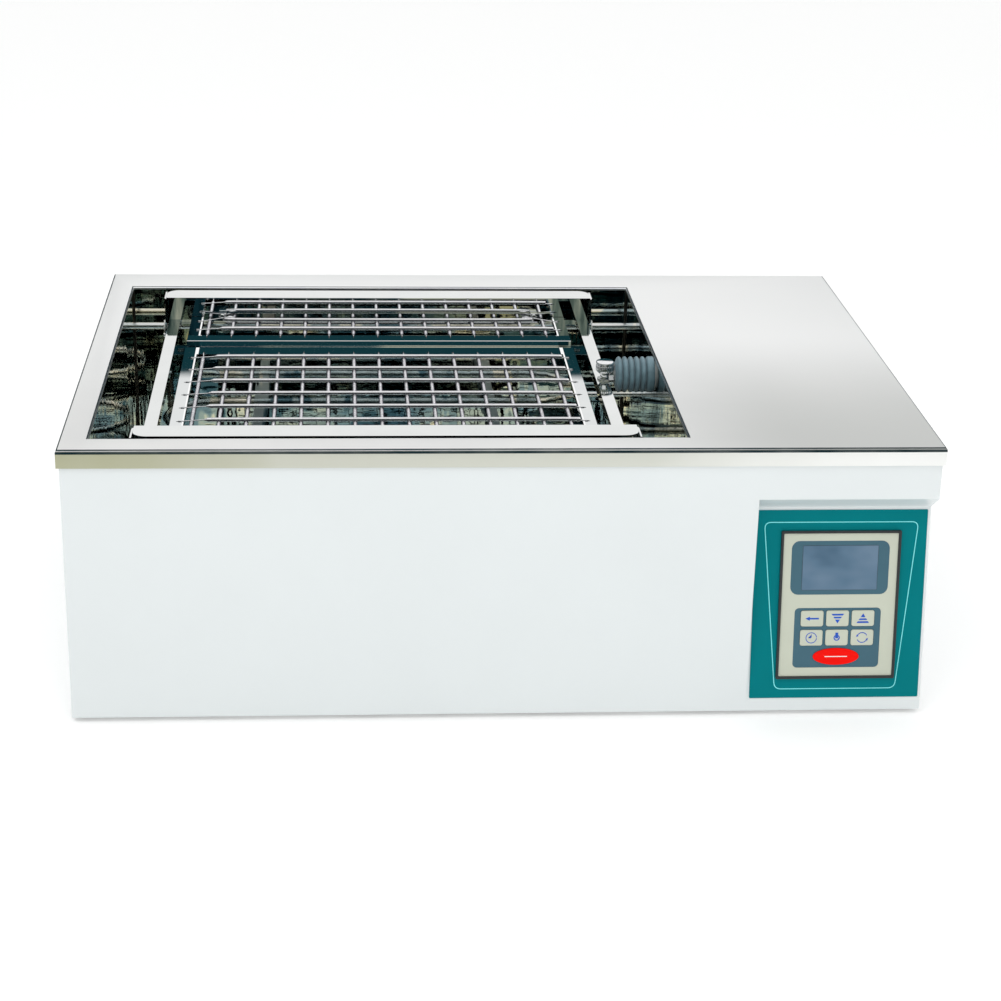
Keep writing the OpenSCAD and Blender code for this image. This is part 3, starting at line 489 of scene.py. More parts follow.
def spring_wire(name, light):
    """Bright wire, with a painted highlight where it faces a direction or its mirror images and painted
    shade between them.
    """
    material, tree, shader = new_material(name, Metallic=1.0)
    surface = add(tree, "ShaderNodeNewGeometry")
    folded = add(tree, "ShaderNodeVectorMath", operation="ABSOLUTE")
    facing = add(tree, "ShaderNodeVectorMath", {1: light}, operation="DOT_PRODUCT")
    tree.links.new(surface.outputs["Normal"], folded.inputs[0])
    tree.links.new(folded.outputs[0], facing.inputs[0])
    # Painted highlight and shade: the colour follows the way the surface faces.
    painted_light_tones = ramp(
        tree,
        facing.outputs["Value"],
        [(0.3, (0.16, 0.16, 0.18)), (0.72, (0.34, 0.33, 0.38)), (0.9, (0.94, 0.935, 0.95))],
    )
    tree.links.new(painted_light_tones, shader.inputs["Base Color"])
    fine = noise(tree, 1500)
    tree.links.new(span(tree, fine, 0.06, 0.16), shader.inputs["Roughness"])
    bumped(tree, shader, [(fine, 0.05, 0.03 * MM)])
    return material


def level_sheet():
    """The carriage's level faces: bright rolled sheet with faint rolling lines."""
    material, tree, shader = new_material("level_sheet", Metallic=1.0)
    stains = noise(tree, 14, (1, 1, 0.35), detail=5.0)
    colours = ramp(tree, stains, [(0.35, (0.75, 0.765, 0.755)), (0.7, (0.80, 0.815, 0.805))])
    tree.links.new(colours, shader.inputs["Base Color"])
    lines = noise(tree, 700, BRUSH_X)
    tree.links.new(span(tree, lines, 0.03, 0.08), shader.inputs["Roughness"])
    broad = noise(tree, 10, (1, 1, 0.3), detail=1.5)
    layers = [(broad, 0.04, 1.0 * MM), (lines, 0.03, 0.01 * MM)]
    bumped(tree, shader, layers, leaning(tree, 0.045))
    return material


def rack_sheet(rack, front_edge):
    """Polished strips with a painted highlight along the bends of their inner sides, and along the front if
    asked.
    """
    material, tree, shader = new_material(rack + "_sheet", Metallic=1.0)
    low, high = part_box(rack + "_frame")
    bend = 1.5 * MM
    # Painted highlight: white bands along the bends of the strips' inner sides and, if asked, the front.
    edges = combined(
        tree,
        "MAXIMUM",
        within(tree, "X", low.x + STRIP - bend, low.x + STRIP + bend),
        within(tree, "X", high.x - STRIP - bend, high.x - STRIP + bend),
    )
    inside = within(tree, "Y", low.y + 18 * MM, high.y)
    bright = combined(tree, "MULTIPLY", edges, inside)
    if front_edge:
        front = within(tree, "Y", low.y - bend, low.y + 1.3 * MM)
        bright = combined(tree, "MAXIMUM", bright, front)
    stains = noise(tree, 14, (1, 1, 0.35), detail=5.0)
    plain = ramp(tree, stains, [(0.3, (0.68, 0.70, 0.70)), (0.6, (0.73, 0.75, 0.745))])
    tree.links.new(mixed(tree, bright, plain, (1.0, 1.0, 1.0)), shader.inputs["Base Color"])
    lines = noise(tree, 700, BRUSH_Y)
    tree.links.new(span(tree, lines, 0.008, 0.02), shader.inputs["Roughness"])
    layers = [(noise(tree, 14, (1, 1, 0.3), detail=1.5), 0.02, 1.0 * MM), (lines, 0.03, 0.01 * MM)]
    bumped(tree, shader, layers, leaning(tree, 0.5, bright))
    return material


def carriage_sheet():
    """Polished sheet, a clean mirror behind the racks, with painted dark reflection streaks beside them."""
    material, tree, shader = new_material("carriage_sheet", Metallic=1.0)
    low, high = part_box("front_rack_frame")
    behind = within(tree, "X", low.x + STRIP, high.x - STRIP, 1.5 * MM)
    # Painted reflection: dark and grey streaks beside the racks.
    streaks = noise(tree, 60, (1, 0.25, 0.12), detail=5.0)
    painted_reflection_streaks = ramp(
        tree,
        streaks,
        [(0.38, (0.06, 0.10, 0.11)), (0.5, (0.26, 0.34, 0.35)), (0.64, (0.78, 0.80, 0.78))],
    )
    tree.links.new(mixed(tree, behind, painted_reflection_streaks, (0.92, 0.94, 0.94)), shader.inputs["Base Color"])
    lines = noise(tree, 700, BRUSH_X)
    tree.links.new(span(tree, lines, 0.01, 0.024), shader.inputs["Roughness"])
    broad = noise(tree, 16, (1, 1, 0.3), detail=1.5)
    bumped(tree, shader, [(broad, 0.05, 1.0 * MM), (lines, 0.03, 0.01 * MM)])
    return material


def bath_sheet(name, dark, bright):
    """Drawn steel of the bath. Its wavering mirror is painted with reflection patches of dark, grey and
    cream.
    """
    material, tree, shader = new_material(name, Metallic=1.0)
    patches = noise(tree, 15, (1, 1, 0.45), detail=3.0, roughness=0.6)
    # Painted reflection: dark, teal-grey and cream patches stand in for the mirrored room.
    colours = ramp(
        tree,
        patches,
        [(0.41, dark), (0.43, (0.44, 0.54, 0.56)), (0.53, (0.52, 0.60, 0.60)), (0.55, bright)],
    )
    tree.links.new(colours, shader.inputs["Base Color"])
    lines = noise(tree, 700, BRUSH_X)
    tree.links.new(span(tree, lines, 0.008, 0.024), shader.inputs["Roughness"])
    broad = noise(tree, 7, (1, 1, 0.3), detail=1.5)
    streaks = noise(tree, 34, (1, 1, 0.06), detail=2.0)
    bumped(tree, shader, [(broad, 0.12, 1.0 * MM), (streaks, 0.4, 0.8 * MM)])
    return material


def display_glass():
    """Grey-blue display behind a clear film, with the soft clouds of a panel that is off."""
    material, tree, shader = new_material("display_glass", Coat_Weight=0.35, Coat_Roughness=0.08)
    clouds = noise(tree, 22, (1, 1, 1.6), detail=2.0)
    colours = ramp(
        tree,
        clouds,
        [(0.3, (0.028, 0.092, 0.165)), (0.48, (0.06, 0.136, 0.222)), (0.7, (0.10, 0.178, 0.27))],
    )
    tree.links.new(colours, shader.inputs["Base Color"])
    grain = noise(tree, 2500)
    tree.links.new(span(tree, grain, 0.28, 0.4), shader.inputs["Roughness"])
    bumped(tree, shader, [(grain, 0.05, 0.02 * MM)])
    return material


materials = {
    "white_case": solid(
        "white_powder_coat", (0.735, 0.77, 0.78), 0.34, mottle=0.012, mottle_scale=8,
        grain_scale=1300, grain=0.18, depth=0.04, wave=0.25, wave_scale=12, wave_depth=0.25,
        Coat_Weight=0.25, Coat_Roughness=0.12,
    ),
    "polished_deck": deck_steel(),
    # The bath walls' dark and cream patches are painted reflections.
    "bath_steel": bath_sheet("bath_wall", (0.10, 0.19, 0.23), (0.98, 0.93, 0.78)),
    "carriage_steel": carriage_sheet(),
    "rack_steel": rack_sheet("front_rack", False),
    "spring_steel": spring_wire("cross_spring_wire", (0, 0.6, 0.8)),
    "rod_steel": solid(
        "ground_bar", (0.66, 0.67, 0.66), 0.16, 1.0, grain_scale=1200, stretch=BRUSH_X
    ),
    "chrome": solid("bright_plate", (0.83, 0.84, 0.85), 0.07, 1.0, mottle=0.04, rough_spread=0.03),
    "plain_sheet": solid(
        "bare_sheet", (0.60, 0.61, 0.61), 0.38, 1.0, mottle=0.12, grain_scale=800, stretch=BRUSH_X
    ),
    "insulation": solid(
        "wool", (0.62, 0.52, 0.30), 0.95, mottle=0.25, grain_scale=500, grain=0.8, depth=0.8
    ),
    "white_polymer": solid("white_polymer", (0.80, 0.80, 0.77), 0.4, mottle=0.03, Coat_Weight=0.2),
    "grey_rubber": solid(
        "bellows_rubber", (0.145, 0.235, 0.275), 0.45, mottle=0.22, mottle_scale=90,
        grain_scale=1500, grain=0.25, depth=0.06, Sheen_Weight=0.25, Sheen_Roughness=0.4,
    ),
    "black_rubber": solid(
        "foot_rubber", (0.02, 0.02, 0.021), 0.75, mottle=0.3, grain=0.4, depth=0.1
    ),
    "brass": solid("turned_brass", (0.72, 0.53, 0.22), 0.25, 1.0, mottle=0.12, grain_scale=1200),
    "drain_steel": solid(
        "drain_tube", (0.62, 0.64, 0.65), 0.28, 1.0, grain_scale=900, stretch=BRUSH_Y
    ),
    "cast_grey": solid(
        "grey_casting", (0.075, 0.09, 0.10), 0.55, mottle=0.15, grain_scale=700, grain=0.5,
        depth=0.15,
    ),
    "teal_film": solid(
        "teal_film", (0.0, 0.182, 0.205), 0.45, mottle=0.05, mottle_scale=12, grain_scale=2200,
        grain=0.12, depth=0.03, Specular_IOR_Level=0.06,
    ),
    "black_bezel": solid(
        "black_moulding", (0.016, 0.018, 0.02), 0.42, mottle=0.2, grain_scale=1800, grain=0.25
    ),
    "beige_film": solid(
        "beige_film", (0.56, 0.585, 0.49), 0.45, mottle=0.02, grain_scale=2600, grain=0.14,
        depth=0.03, Specular_IOR_Level=0.2,
    ),
    "display": display_glass(),
    "slate_film": solid(
        "slate_film", (0.063, 0.138, 0.182), 0.45, mottle=0.04, grain_scale=2600, grain=0.14,
        depth=0.03, Specular_IOR_Level=0.12,
    ),
    "red_key": solid(
        "red_film", (0.88, 0.004, 0.001), 0.4, mottle=0.06, mottle_scale=40, grain_scale=2200,
        grain=0.1, depth=0.03, Specular_IOR_Level=0.1,
    ),
    "rocker_red": solid("rocker_red", (0.30, 0.01, 0.008), 0.3, mottle=0.08, Coat_Weight=0.4),
    "board_green": solid(
        "board_green", (0.01, 0.09, 0.035), 0.4, mottle=0.35, mottle_scale=160, grain=0.1
    ),
    "heatsink": solid("heatsink", (0.45, 0.46, 0.47), 0.42, 1.0, grain_scale=900, stretch=BRUSH_Y),
}
slots = {s["node"]: s["material_slot"] for s in frame["record"]["subparts"]}
body_of = {n: b for b, ns in frame["record"]["behaviour"]["bodies"].items() for n in ns}


def dress_nodes():
    """Gives every CAD node the material of its slot."""
    for name, obj in frame["nodes"].items():
        obj.data.materials.clear()
        obj.data.materials.append(materials[slots[name]])


def dress_bath_floor():
    """Gives the bath's level faces a calmer steel than its walls, with softer painted reflection patches."""
    mesh = frame["nodes"]["tub"].data
    # Painted reflection patches, calmer than on the walls.
    mesh.materials.append(bath_sheet("bath_floor", (0.26, 0.34, 0.36), (0.66, 0.68, 0.62)))
    for face in mesh.polygons:
        face.material_index = 1 if face.normal.z > 0.7 else 0


def refine_nodes(names, width, **options):
    """Refined copies of CAD nodes, each on its own body and in its slot's material."""
    for name in names:
        refined(name, body_of[name], slots[name], materials[slots[name]], width, **options)


# ---------------------------------------------------------------- deck


def arc(radius, start, end, steps):
    """(horizontal, vertical) offsets on an arc, angles in degrees."""
    angles = [math.radians(start + (end - start) * k / steps) for k in range(steps + 1)]
    return [(radius * math.cos(a), radius * math.sin(a)) for a in angles]


def make_deck():
    """One folded sheet: lip, rounded bend, flat top and the rim turned down into the bath."""
    low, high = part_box("deck")
    sheet, bend, rim_bend, rim = 1.2 * MM, 2.6 * MM, 1.6 * MM, 3.0 * MM
    lip_zone = 5 * MM
    x_from, x_to = low.x + lip_zone, high.x - lip_zone
    y_from, y_to = low.y + lip_zone, high.y - lip_zone
    vertices = [v.co for v in frame["nodes"]["deck"].data.vertices]
    rim_points = [p for p in vertices if x_from < p.x < x_to and y_from < p.y < y_to]
    ox0 = min(p.x for p in rim_points) + sheet
    ox1 = max(p.x for p in rim_points) - sheet
    oy0 = min(p.y for p in rim_points) + sheet
    oy1 = max(p.y for p in rim_points) - sheet
    loops = []

    def outer(inset, z):
        loops.append(
            rectangle(low.x + inset, low.y + inset, high.x - inset, high.y - inset, z)
        )

    def inner(out, z):
        loops.append(rectangle(ox0 - out, oy0 - out, ox1 + out, oy1 + out, z))

    outer(0.0, low.z)
    for dx, dz in arc(bend, 0, 90, 6):
        outer(bend - dx, high.z - bend + dz)
    for dx, dz in arc(rim_bend, 90, 0, 5):
        inner(rim_bend - dx, high.z - rim_bend + dz)
    inner(0.0, high.z - rim)
    inner(sheet, high.z - rim)
    inner(sheet, high.z - rim_bend)
    inner(rim_bend, high.z - sheet)
    outer(bend, high.z - sheet)
    outer(sheet, high.z - bend)
    outer(sheet, low.z)
    steel = materials["polished_deck"]
    deck = ring_shell("deck_sheet", loops, "case", steel, smooth=35)
    deck.data.materials.append(rim_steel())
    for face in deck.data.polygons:
        near = abs(face.center.x - (ox0 + ox1) / 2) < (ox1 - ox0) / 2 + rim_bend
        near = near and abs(face.center.y - (oy0 + oy1) / 2) < (oy1 - oy0) / 2 + rim_bend
        in_opening = near and face.center.z < high.z - 0.02 * MM
        face.material_index = 1 if in_opening else 0
    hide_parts("deck")


# ---------------------------------------------------------------- springs


SPRING_R = 1.7 * MM  # middle of the wire from the middle of the coil
WIRE_R = 0.45 * MM
COIL_PITCH = 0.95 * MM
COIL_STEPS = 8  # points in one turn of the coil
LONG_SPRINGS = 15
LONG_PITCH = 24.1 * MM
ROW_PITCH = 36.5 * MM


def spring_line(path, lead_in, lead_out):
    """The wire's centre line: a hook, a close coil round a path, and another hook."""
    path = rounded(path, 2 * MM)
    lengths = [0.0]
    for a, b in zip(path, path[1:], strict=False):
        lengths.append(lengths[-1] + (b - a).length)
    total = lengths[-1]
    count = round(total / COIL_PITCH) * COIL_STEPS
    line = list(lead_in)
    k = 0
    for i in range(count + 1):
        s = total * i / count
        while k < len(lengths) - 2 and lengths[k + 1] < s:
            k += 1
        t = (s - lengths[k]) / (lengths[k + 1] - lengths[k])
        centre = path[k].lerp(path[k + 1], t)
        ahead = (path[min(k + 2, len(path) - 1)] - path[max(k - 1, 0)]).normalized()
        side = ahead.cross(Vector((0, 0, 1))).normalized()
        up = side.cross(ahead)
        shrink = min(1.0, 0.15 + min(s, total - s) / (4 * COIL_PITCH))
        angle = math.tau * i / COIL_STEPS
        line.append(centre + (side * math.cos(angle) + up * math.sin(angle)) * SPRING_R * shrink)
    line.extend(lead_out)
    return line


def make_spring(name, path, lead_in, lead_out, body, material):
    """One spring of wound wire with its two hooks."""
    line = spring_line(path, lead_in, lead_out)
    verts, faces = tube(line, WIRE_R, 5)
    return make_object(name, verts, faces, body, material, 75)


def hook_points(slot_point, edge_point, end_point):
    """A wire from inside a slot, up, over the strip's edge and out to the coil."""
    down = Vector((0, 0, -3 * MM))
    corner = [slot_point + down, slot_point + down * 0.2, slot_point]
    return rounded([*corner, edge_point, end_point], 1.2 * MM)


def clamped_path(y, pull, z):
    """A cross spring's path whose ends are drawn back by pull to the two clamps."""
    left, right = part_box("rack_clamps")
    post = 3.5 * MM
    ends = ((left.x + post, 1), (right.x - post, -1))
    bends = ((5 * MM, pull), (12 * MM, pull * 0.5), (26 * MM, 0.0))
    halves = [[Vector((x + side * dx, y + dy, z)) for dx, dy in bends] for x, side in ends]
    return halves[0] + halves[1][::-1]


def make_rack_springs(rack, rows, row_ends, back_open, long_wire):
    """All springs of one rack. rows are the places of the cross springs, front to back, and how
    far their ends are drawn back. An open back has no slots for the long springs' hooks."""
    low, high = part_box(rack + "_frame")
    slot_in, first, lead = 4.4 * MM, 6.8 * MM, 5 * MM
    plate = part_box("front_rack_frame")[1].z
    hook_z = plate + WIRE_R + 0.1 * MM
    long_z = plate - SPRING_R
    cross_z = plate + SPRING_R + 0.1 * MM
    x0, x1 = low.x + STRIP, high.x - STRIP
    y0, y1 = row_ends
    for i in range(LONG_SPRINGS):
        x = x0 + first + LONG_PITCH * i
        a = Vector((x, y0 + lead, long_z))
        b = Vector((x, y1 - (2 * MM if back_open else lead), long_z))
        start = hook_points(Vector((x, y0 - slot_in, hook_z)), Vector((x, y0 + MM, hook_z)), a)
        if back_open:
            end = [Vector((x, y1 + 0.5 * MM, long_z))]
        else:
            over = Vector((x, y1 - MM, hook_z))
            end = hook_points(Vector((x, y1 + slot_in, hook_z)), over, b)[::-1]
        name = f"{rack}_long_spring_{i + 1:02d}"
        make_spring(name, [a, b], start, end, rack, long_wire)
    for i, (y, pull) in enumerate(rows):
        if pull:
            path = clamped_path(y, pull, cross_z)
        else:
            a = Vector((x0 + 18 * MM, y, cross_z - 0.2 * MM))
            b = Vector((x1 - lead, y, cross_z - 0.6 * MM))
            path = [a, Vector((x0 + 60 * MM, y, cross_z)), Vector((x1 - 30 * MM, y, cross_z)), b]
        left_edge = Vector((x0 + MM, y, hook_z))
        right_edge = Vector((x1 - MM, y, hook_z))
        start = hook_points(Vector((x0 - slot_in, y, hook_z)), left_edge, path[0])
        end = hook_points(Vector((x1 + slot_in, y, hook_z)), right_edge, path[-1])[::-1]
        name = f"{rack}_cross_spring_{i + 1}"
        make_spring(name, path, start, end, rack, materials["spring_steel"])
    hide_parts(rack + "_springs", rack + "_hooks")


# ---------------------------------------------------------------- bath


def make_corner_beads():
    """The dark weld that runs down each inside corner of the bath."""
    low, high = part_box("tub")
    inset, r = 10.6 * MM, 1.1 * MM
    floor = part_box("heater_rests")[0].z
    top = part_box("deck")[1].z - 3.4 * MM
    weld = solid("corner_weld", (0.10, 0.09, 0.08), 0.35, 1.0, mottle=0.4, mottle_scale=60)
    for i, x in enumerate((low.x + inset, high.x - inset)):
        for k, y in enumerate((low.y + inset, high.y - inset)):
            verts, faces = tube([(x, y, floor + r), (x, y, top)], r, 10)
            name = f"corner_weld_{2 * i + k + 1}"
            make_object(name, verts, faces, "case", weld, 60)


# ---------------------------------------------------------------- turned pieces


def make_thumb_screw():
    """Chrome head with a knurled skirt over a round base, and its shank."""
    low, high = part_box("thumb_screw")
    centre = ((low.x + high.x) / 2, (low.y + high.y) / 2, 0)
    r, z, top = (high.x - low.x) / 2, low.z, high.z
    axis, shank, collar = 0.01 * MM, 2.5 * MM, 4.4 * MM
    profile = [
        (axis, z), (shank, z), (shank, top - 16.4 * MM), (collar, top - 16.4 * MM),
        (collar, top - 14.2 * MM), (4.9 * MM, top - 13.2 * MM), (6.4 * MM, top - 11.2 * MM),
        (r * 0.95, top - 9.3 * MM), (r, top - 8.6 * MM), (r, top - 4.6 * MM),
        (r * 0.96, top - 4.2 * MM), (r * 0.86, top - 3.9 * MM), (r * 0.86, top - 3.0 * MM),
        (r * 0.97, top - 2.7 * MM), (r, top - 2.2 * MM), (r, top - 1.2 * MM),
        (r * 0.95, top - 0.45 * MM), (r * 0.86, top - 0.1 * MM), (r * 0.75, top),
        (axis, top),
    ]
    skirt = (profile.index((r, top - 8.6 * MM)), profile.index((r, top - 4.6 * MM)))
    verts, faces = lathe(profile, centre, (0, 0, 1), 168, 28, 0.45 * MM, ribbed=skirt)
    chrome = materials["chrome"]
    turned = make_object("thumb_screw_turned", verts, faces, "thumb_screw", chrome, 38)
    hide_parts("thumb_screw")


def make_bellows():
    """Soft ribbed sleeve with a wide cuff, stretched between the push rod and the wall."""
    low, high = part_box("bellows")
    centre = (low.x, (low.y + high.y) / 2, (low.z + high.z) / 2)
    big, length = (high.z - low.z) / 2, high.x - low.x
    small, wall, bore, mouth = big - 4.4 * MM, 0.9 * MM, 4.15 * MM, 13.2 * MM
    ribs, pitch, start, per_rib = 5, 5.65 * MM, 1.0 * MM, 14
    end = start + ribs * pitch
    places = [i / per_rib for i in range(ribs * per_rib + 1)]

    def rib(t, root, crest):
        return (root + (crest - root) * abs(math.sin(math.pi * t)) ** 0.62, start + t * pitch)

    outside = [(bore, 0.0), (small - 1.5 * MM, 0.0), (small - 0.4 * MM, 0.3 * MM)]
    outside += [rib(t, small, big) for t in places]
    cuff = [
        (big * 0.93, end + 0.9 * MM), (big * 0.985, end + 1.7 * MM), (big, end + 3 * MM),
        (big, length - 1.2 * MM), (big * 0.97, length - 0.3 * MM), (mouth, length - 0.2 * MM),
    ]
    inside = [(mouth, end + 3.2 * MM)]
    inside += [rib(t, small - wall, big - wall - 0.2 * MM) for t in reversed(places)]
    inside += [(small - wall, start), (bore, start)]
    verts, faces = lathe(outside + cuff + inside, centre, (1, 0, 0), 72)
    rubber = materials["grey_rubber"]
    sleeve = make_object("bellows_sleeve", verts, faces, None, rubber, 60)
    wall_end = (high.x, centre[1], centre[2])
    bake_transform(sleeve, "carriage", "case", start=centre, end=wall_end)
    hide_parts("bellows")


# ---------------------------------------------------------------- control panel


def face_frame(node):
    """A matrix on a panel node's outer face: X to the right, Y up the slope, Z outwards."""
    mesh = frame["nodes"][node].data
    panel = frame["nodes"]["control_overlay"].data
    largest = max((p for p in panel.polygons if p.normal.y < -0.5), key=lambda p: p.area)
    out = largest.normal.normalized()
    out.x = 0
    out.normalize()
    right = Vector((1, 0, 0))
    up = out.cross(right)
    xs, ys, zs = [], [], []
    for v in mesh.vertices:
        xs.append(v.co.dot(right))
        ys.append(v.co.dot(up))
        zs.append(v.co.dot(out))
    origin = right * (min(xs) + max(xs)) / 2 + up * (min(ys) + max(ys)) / 2 + out * max(zs)
    matrix = Matrix((right, up, out)).transposed().to_4x4()
    matrix.translation = origin
    return matrix


def outline_plate(name, outline, thick, matrix, body, slot, material, lift=0.0):
    """A thin solid from an outline in mm in a face's frame, standing lift mm off the face."""
    count = len(outline)
    verts = [matrix @ Vector((x * MM, y * MM, lift * MM)) for x, y in outline]
    verts += [matrix @ Vector((x * MM, y * MM, (lift + thick) * MM)) for x, y in outline]
    faces = [tuple(reversed(range(count))), tuple(range(count, 2 * count))]
    for i in range(count):
        n = (i + 1) % count
        faces.append((i, n, count + n, count + i))
    return make_object(name, verts, faces, body, material, 30)


def round_rectangle(w, h, r, steps=6):
    """Outline of a rectangle with round corners, in mm."""
    points = []
    for sx, sy, start in ((1, 1, 0), (-1, 1, 90), (-1, -1, 180), (1, -1, 270)):
        for dx, dy in arc(r, start, start + 90, steps):
            points.append((sx * (w / 2 - r) + dx, sy * (h / 2 - r) + dy))
    return points


def band(name, corners, radius, width, thick, matrix, body, slot, material, lift=0.0):
    """A closed flat line of the given width round corners, in a face's frame, in mm."""
    path = []
    count = len(corners)
    for i, corner in enumerate(corners):
        here = Vector(corner)
        before = (Vector(corners[i - 1]) - here).normalized()
        after = (Vector(corners[(i + 1) % count]) - here).normalized()
        for k in range(7):
            t = k / 6
            a, b = here + before * radius, here + after * radius
            path.append(a * (1 - t) ** 2 + here * 2 * t * (1 - t) + b * t * t)
    verts, faces = [], []
    total = len(path)
    for i, p in enumerate(path):
        ahead = (path[(i + 1) % total] - path[i - 1]).normalized()
        side = Vector((-ahead.y, ahead.x))
        for offset, z in ((1, lift), (-1, lift), (-1, lift + thick), (1, lift + thick)):
            q = p + side * offset * width / 2
            verts.append(matrix @ Vector((q.x * MM, q.y * MM, z * MM)))
    for i in range(total):
        a, b = i * 4, ((i + 1) % total) * 4
        for k in range(4):
            n = (k + 1) % 4
            faces.append((a + k, a + n, b + n, b + k))
    return make_object(name, verts, faces, body, material, 30)


def arc_band(radius, width, start, end):
    """Outline of a part of a ring, in mm."""
    outer = arc(radius + width / 2, start, end, 24)
    return outer + arc(radius - width / 2, end, start, 24)


def key_marks():
    """Outlines, in mm from the middle of a key, of the plain symbol that each key carries."""
    left_arrow = [(-6, 0), (-2, 1.9), (-2, 0.75), (6, 0.75), (6, -0.75), (-2, -0.75), (-2, -1.9)]

    def bars(sign):
        shapes = []
        for top, bottom in ((4.3, 2.7), (1.6, 0.1), (-1.0, -4.3)):
            wide, narrow = (5.6 * (top + 4.3) / 8.6, 5.6 * (bottom + 4.3) / 8.6)
            narrow = max(narrow, 0.15)
            shape = [(-wide, top), (wide, top), (narrow, bottom), (-narrow, bottom)]
            shapes.append([(x, sign * y) for x, y in (shape if sign > 0 else shape[::-1])])
        return shapes

    hands = [(-2.6, 0.3), (0.3, 0.3), (0.3, 3.2), (-0.3, 3.2), (-0.3, -0.3), (-2.6, -0.3)]
    clock = [arc_band(4.7, 0.7, 4, 356), hands]
    stem = [(-1.3, -0.6), (-1.3, 4.7), (1.3, 4.7), (1.3, -0.6)]
    thermometer = [stem[::-1], arc_band(2.3, 1.0, -236, 56)]
    turn = [
        arc_band(4.5, 0.75, 25, 155), arc_band(4.5, 0.75, 205, 335),
        [(-5.4, 0.6), (-3.2, 1.2), (-4.6, 3.0)], [(5.4, -0.6), (3.2, -1.2), (4.6, -3.0)],
    ]
    return {
        "key_shift": [left_arrow],
        "key_down": bars(1),
        "key_up": bars(-1),
        "key_timer": clock,
        "key_temperature": thermometer,
        "key_speed": turn,
    }


def make_panel():
    """Printed line, display surround, key symbols and the run key's bar. Outlines are in mm from
    the middle of the face that they lie on."""
    ink = solid(
        "blue_ink", (0.002, 0.075, 0.50), 0.45, mottle=0.1, mottle_scale=200, grain_scale=2600
    )
    white = solid("white_ink", (0.85, 0.82, 0.80), 0.45, mottle=0.03, grain_scale=2600)
    dark = solid("display_shadow", (0.035, 0.07, 0.10), 0.4, mottle=0.3, mottle_scale=60)
    pale = solid("pale_ink", (0.20, 0.80, 0.82), 0.4, mottle=0.06, grain_scale=2600)
    slate, display = materials["slate_film"], materials["display"]
    print_thick, film_thick, glass_thick = 0.05, 0.12, 0.1
    overlay = face_frame("control_overlay")
    line = [(-67.9, 74.6), (67.6, 74.6), (54.2, -77.2), (-53.3, -77.2)]
    band("overlay_line", line, 6, 0.75, 0.06, overlay, "case", "teal_film", pale)
    window = face_frame("display_window")
    surround = round_rectangle(86.3, 48.5, 7)
    glass = round_rectangle(66.3, 39.9, 0.8, 2)
    edge = [(33.3, 20.1), (33.3, -20.1), (-33.3, -20.1), (-33.3, 20.1)]
    film = face_frame("membrane_panel")
    out = window.col[2].xyz
    film.translation = window.translation + out * (film.translation - window.translation).dot(out)
    outline_plate("display_surround", surround, film_thick, film, "case", "slate_film", slate)
    on_film = {"body": "case", "slot": "display", "lift": film_thick}
    outline_plate("display_glass", glass, glass_thick, film, material=display, **on_film)
    band("display_edge", edge, 0.8, 0.5, glass_thick, film, material=dark, **on_film)
    for key, shapes in key_marks().items():
        face = face_frame(key)
        for i, shape in enumerate(shapes):
            name = f"{key}_mark_{i + 1}"
            outline_plate(name, shape, print_thick, face, key, "slate_film", ink)
    run = face_frame("key_run")
    bar = [(-10, -0.4), (10, -0.4), (10, 0.4), (-10, 0.4)]
    outline_plate("key_run_bar", bar, print_thick, run, "key_run", "red_key", white)


# ---------------------------------------------------------------- stage


def make_floor():
    """White paper that reaches far past the view, just under the feet."""
    size = 60.0
    verts = rectangle(-size, -size, size, size, cad_box[0].z - 0.2 * MM)
    mesh = bpy.data.meshes.new("floor")
    mesh.from_pydata(verts, [], [(0, 1, 2, 3)])
    floor = bpy.data.objects.new("floor", mesh)
    bpy.context.scene.collection.objects.link(floor)
    mesh.materials.append(
        solid(
            "floor_paper", (0.93, 0.93, 0.93), 0.9, mottle=0.003, grain=0.02, rough_spread=0.02,
            Emission_Color=(1, 1, 1, 1), Emission_Strength=0.2,
        )
    )


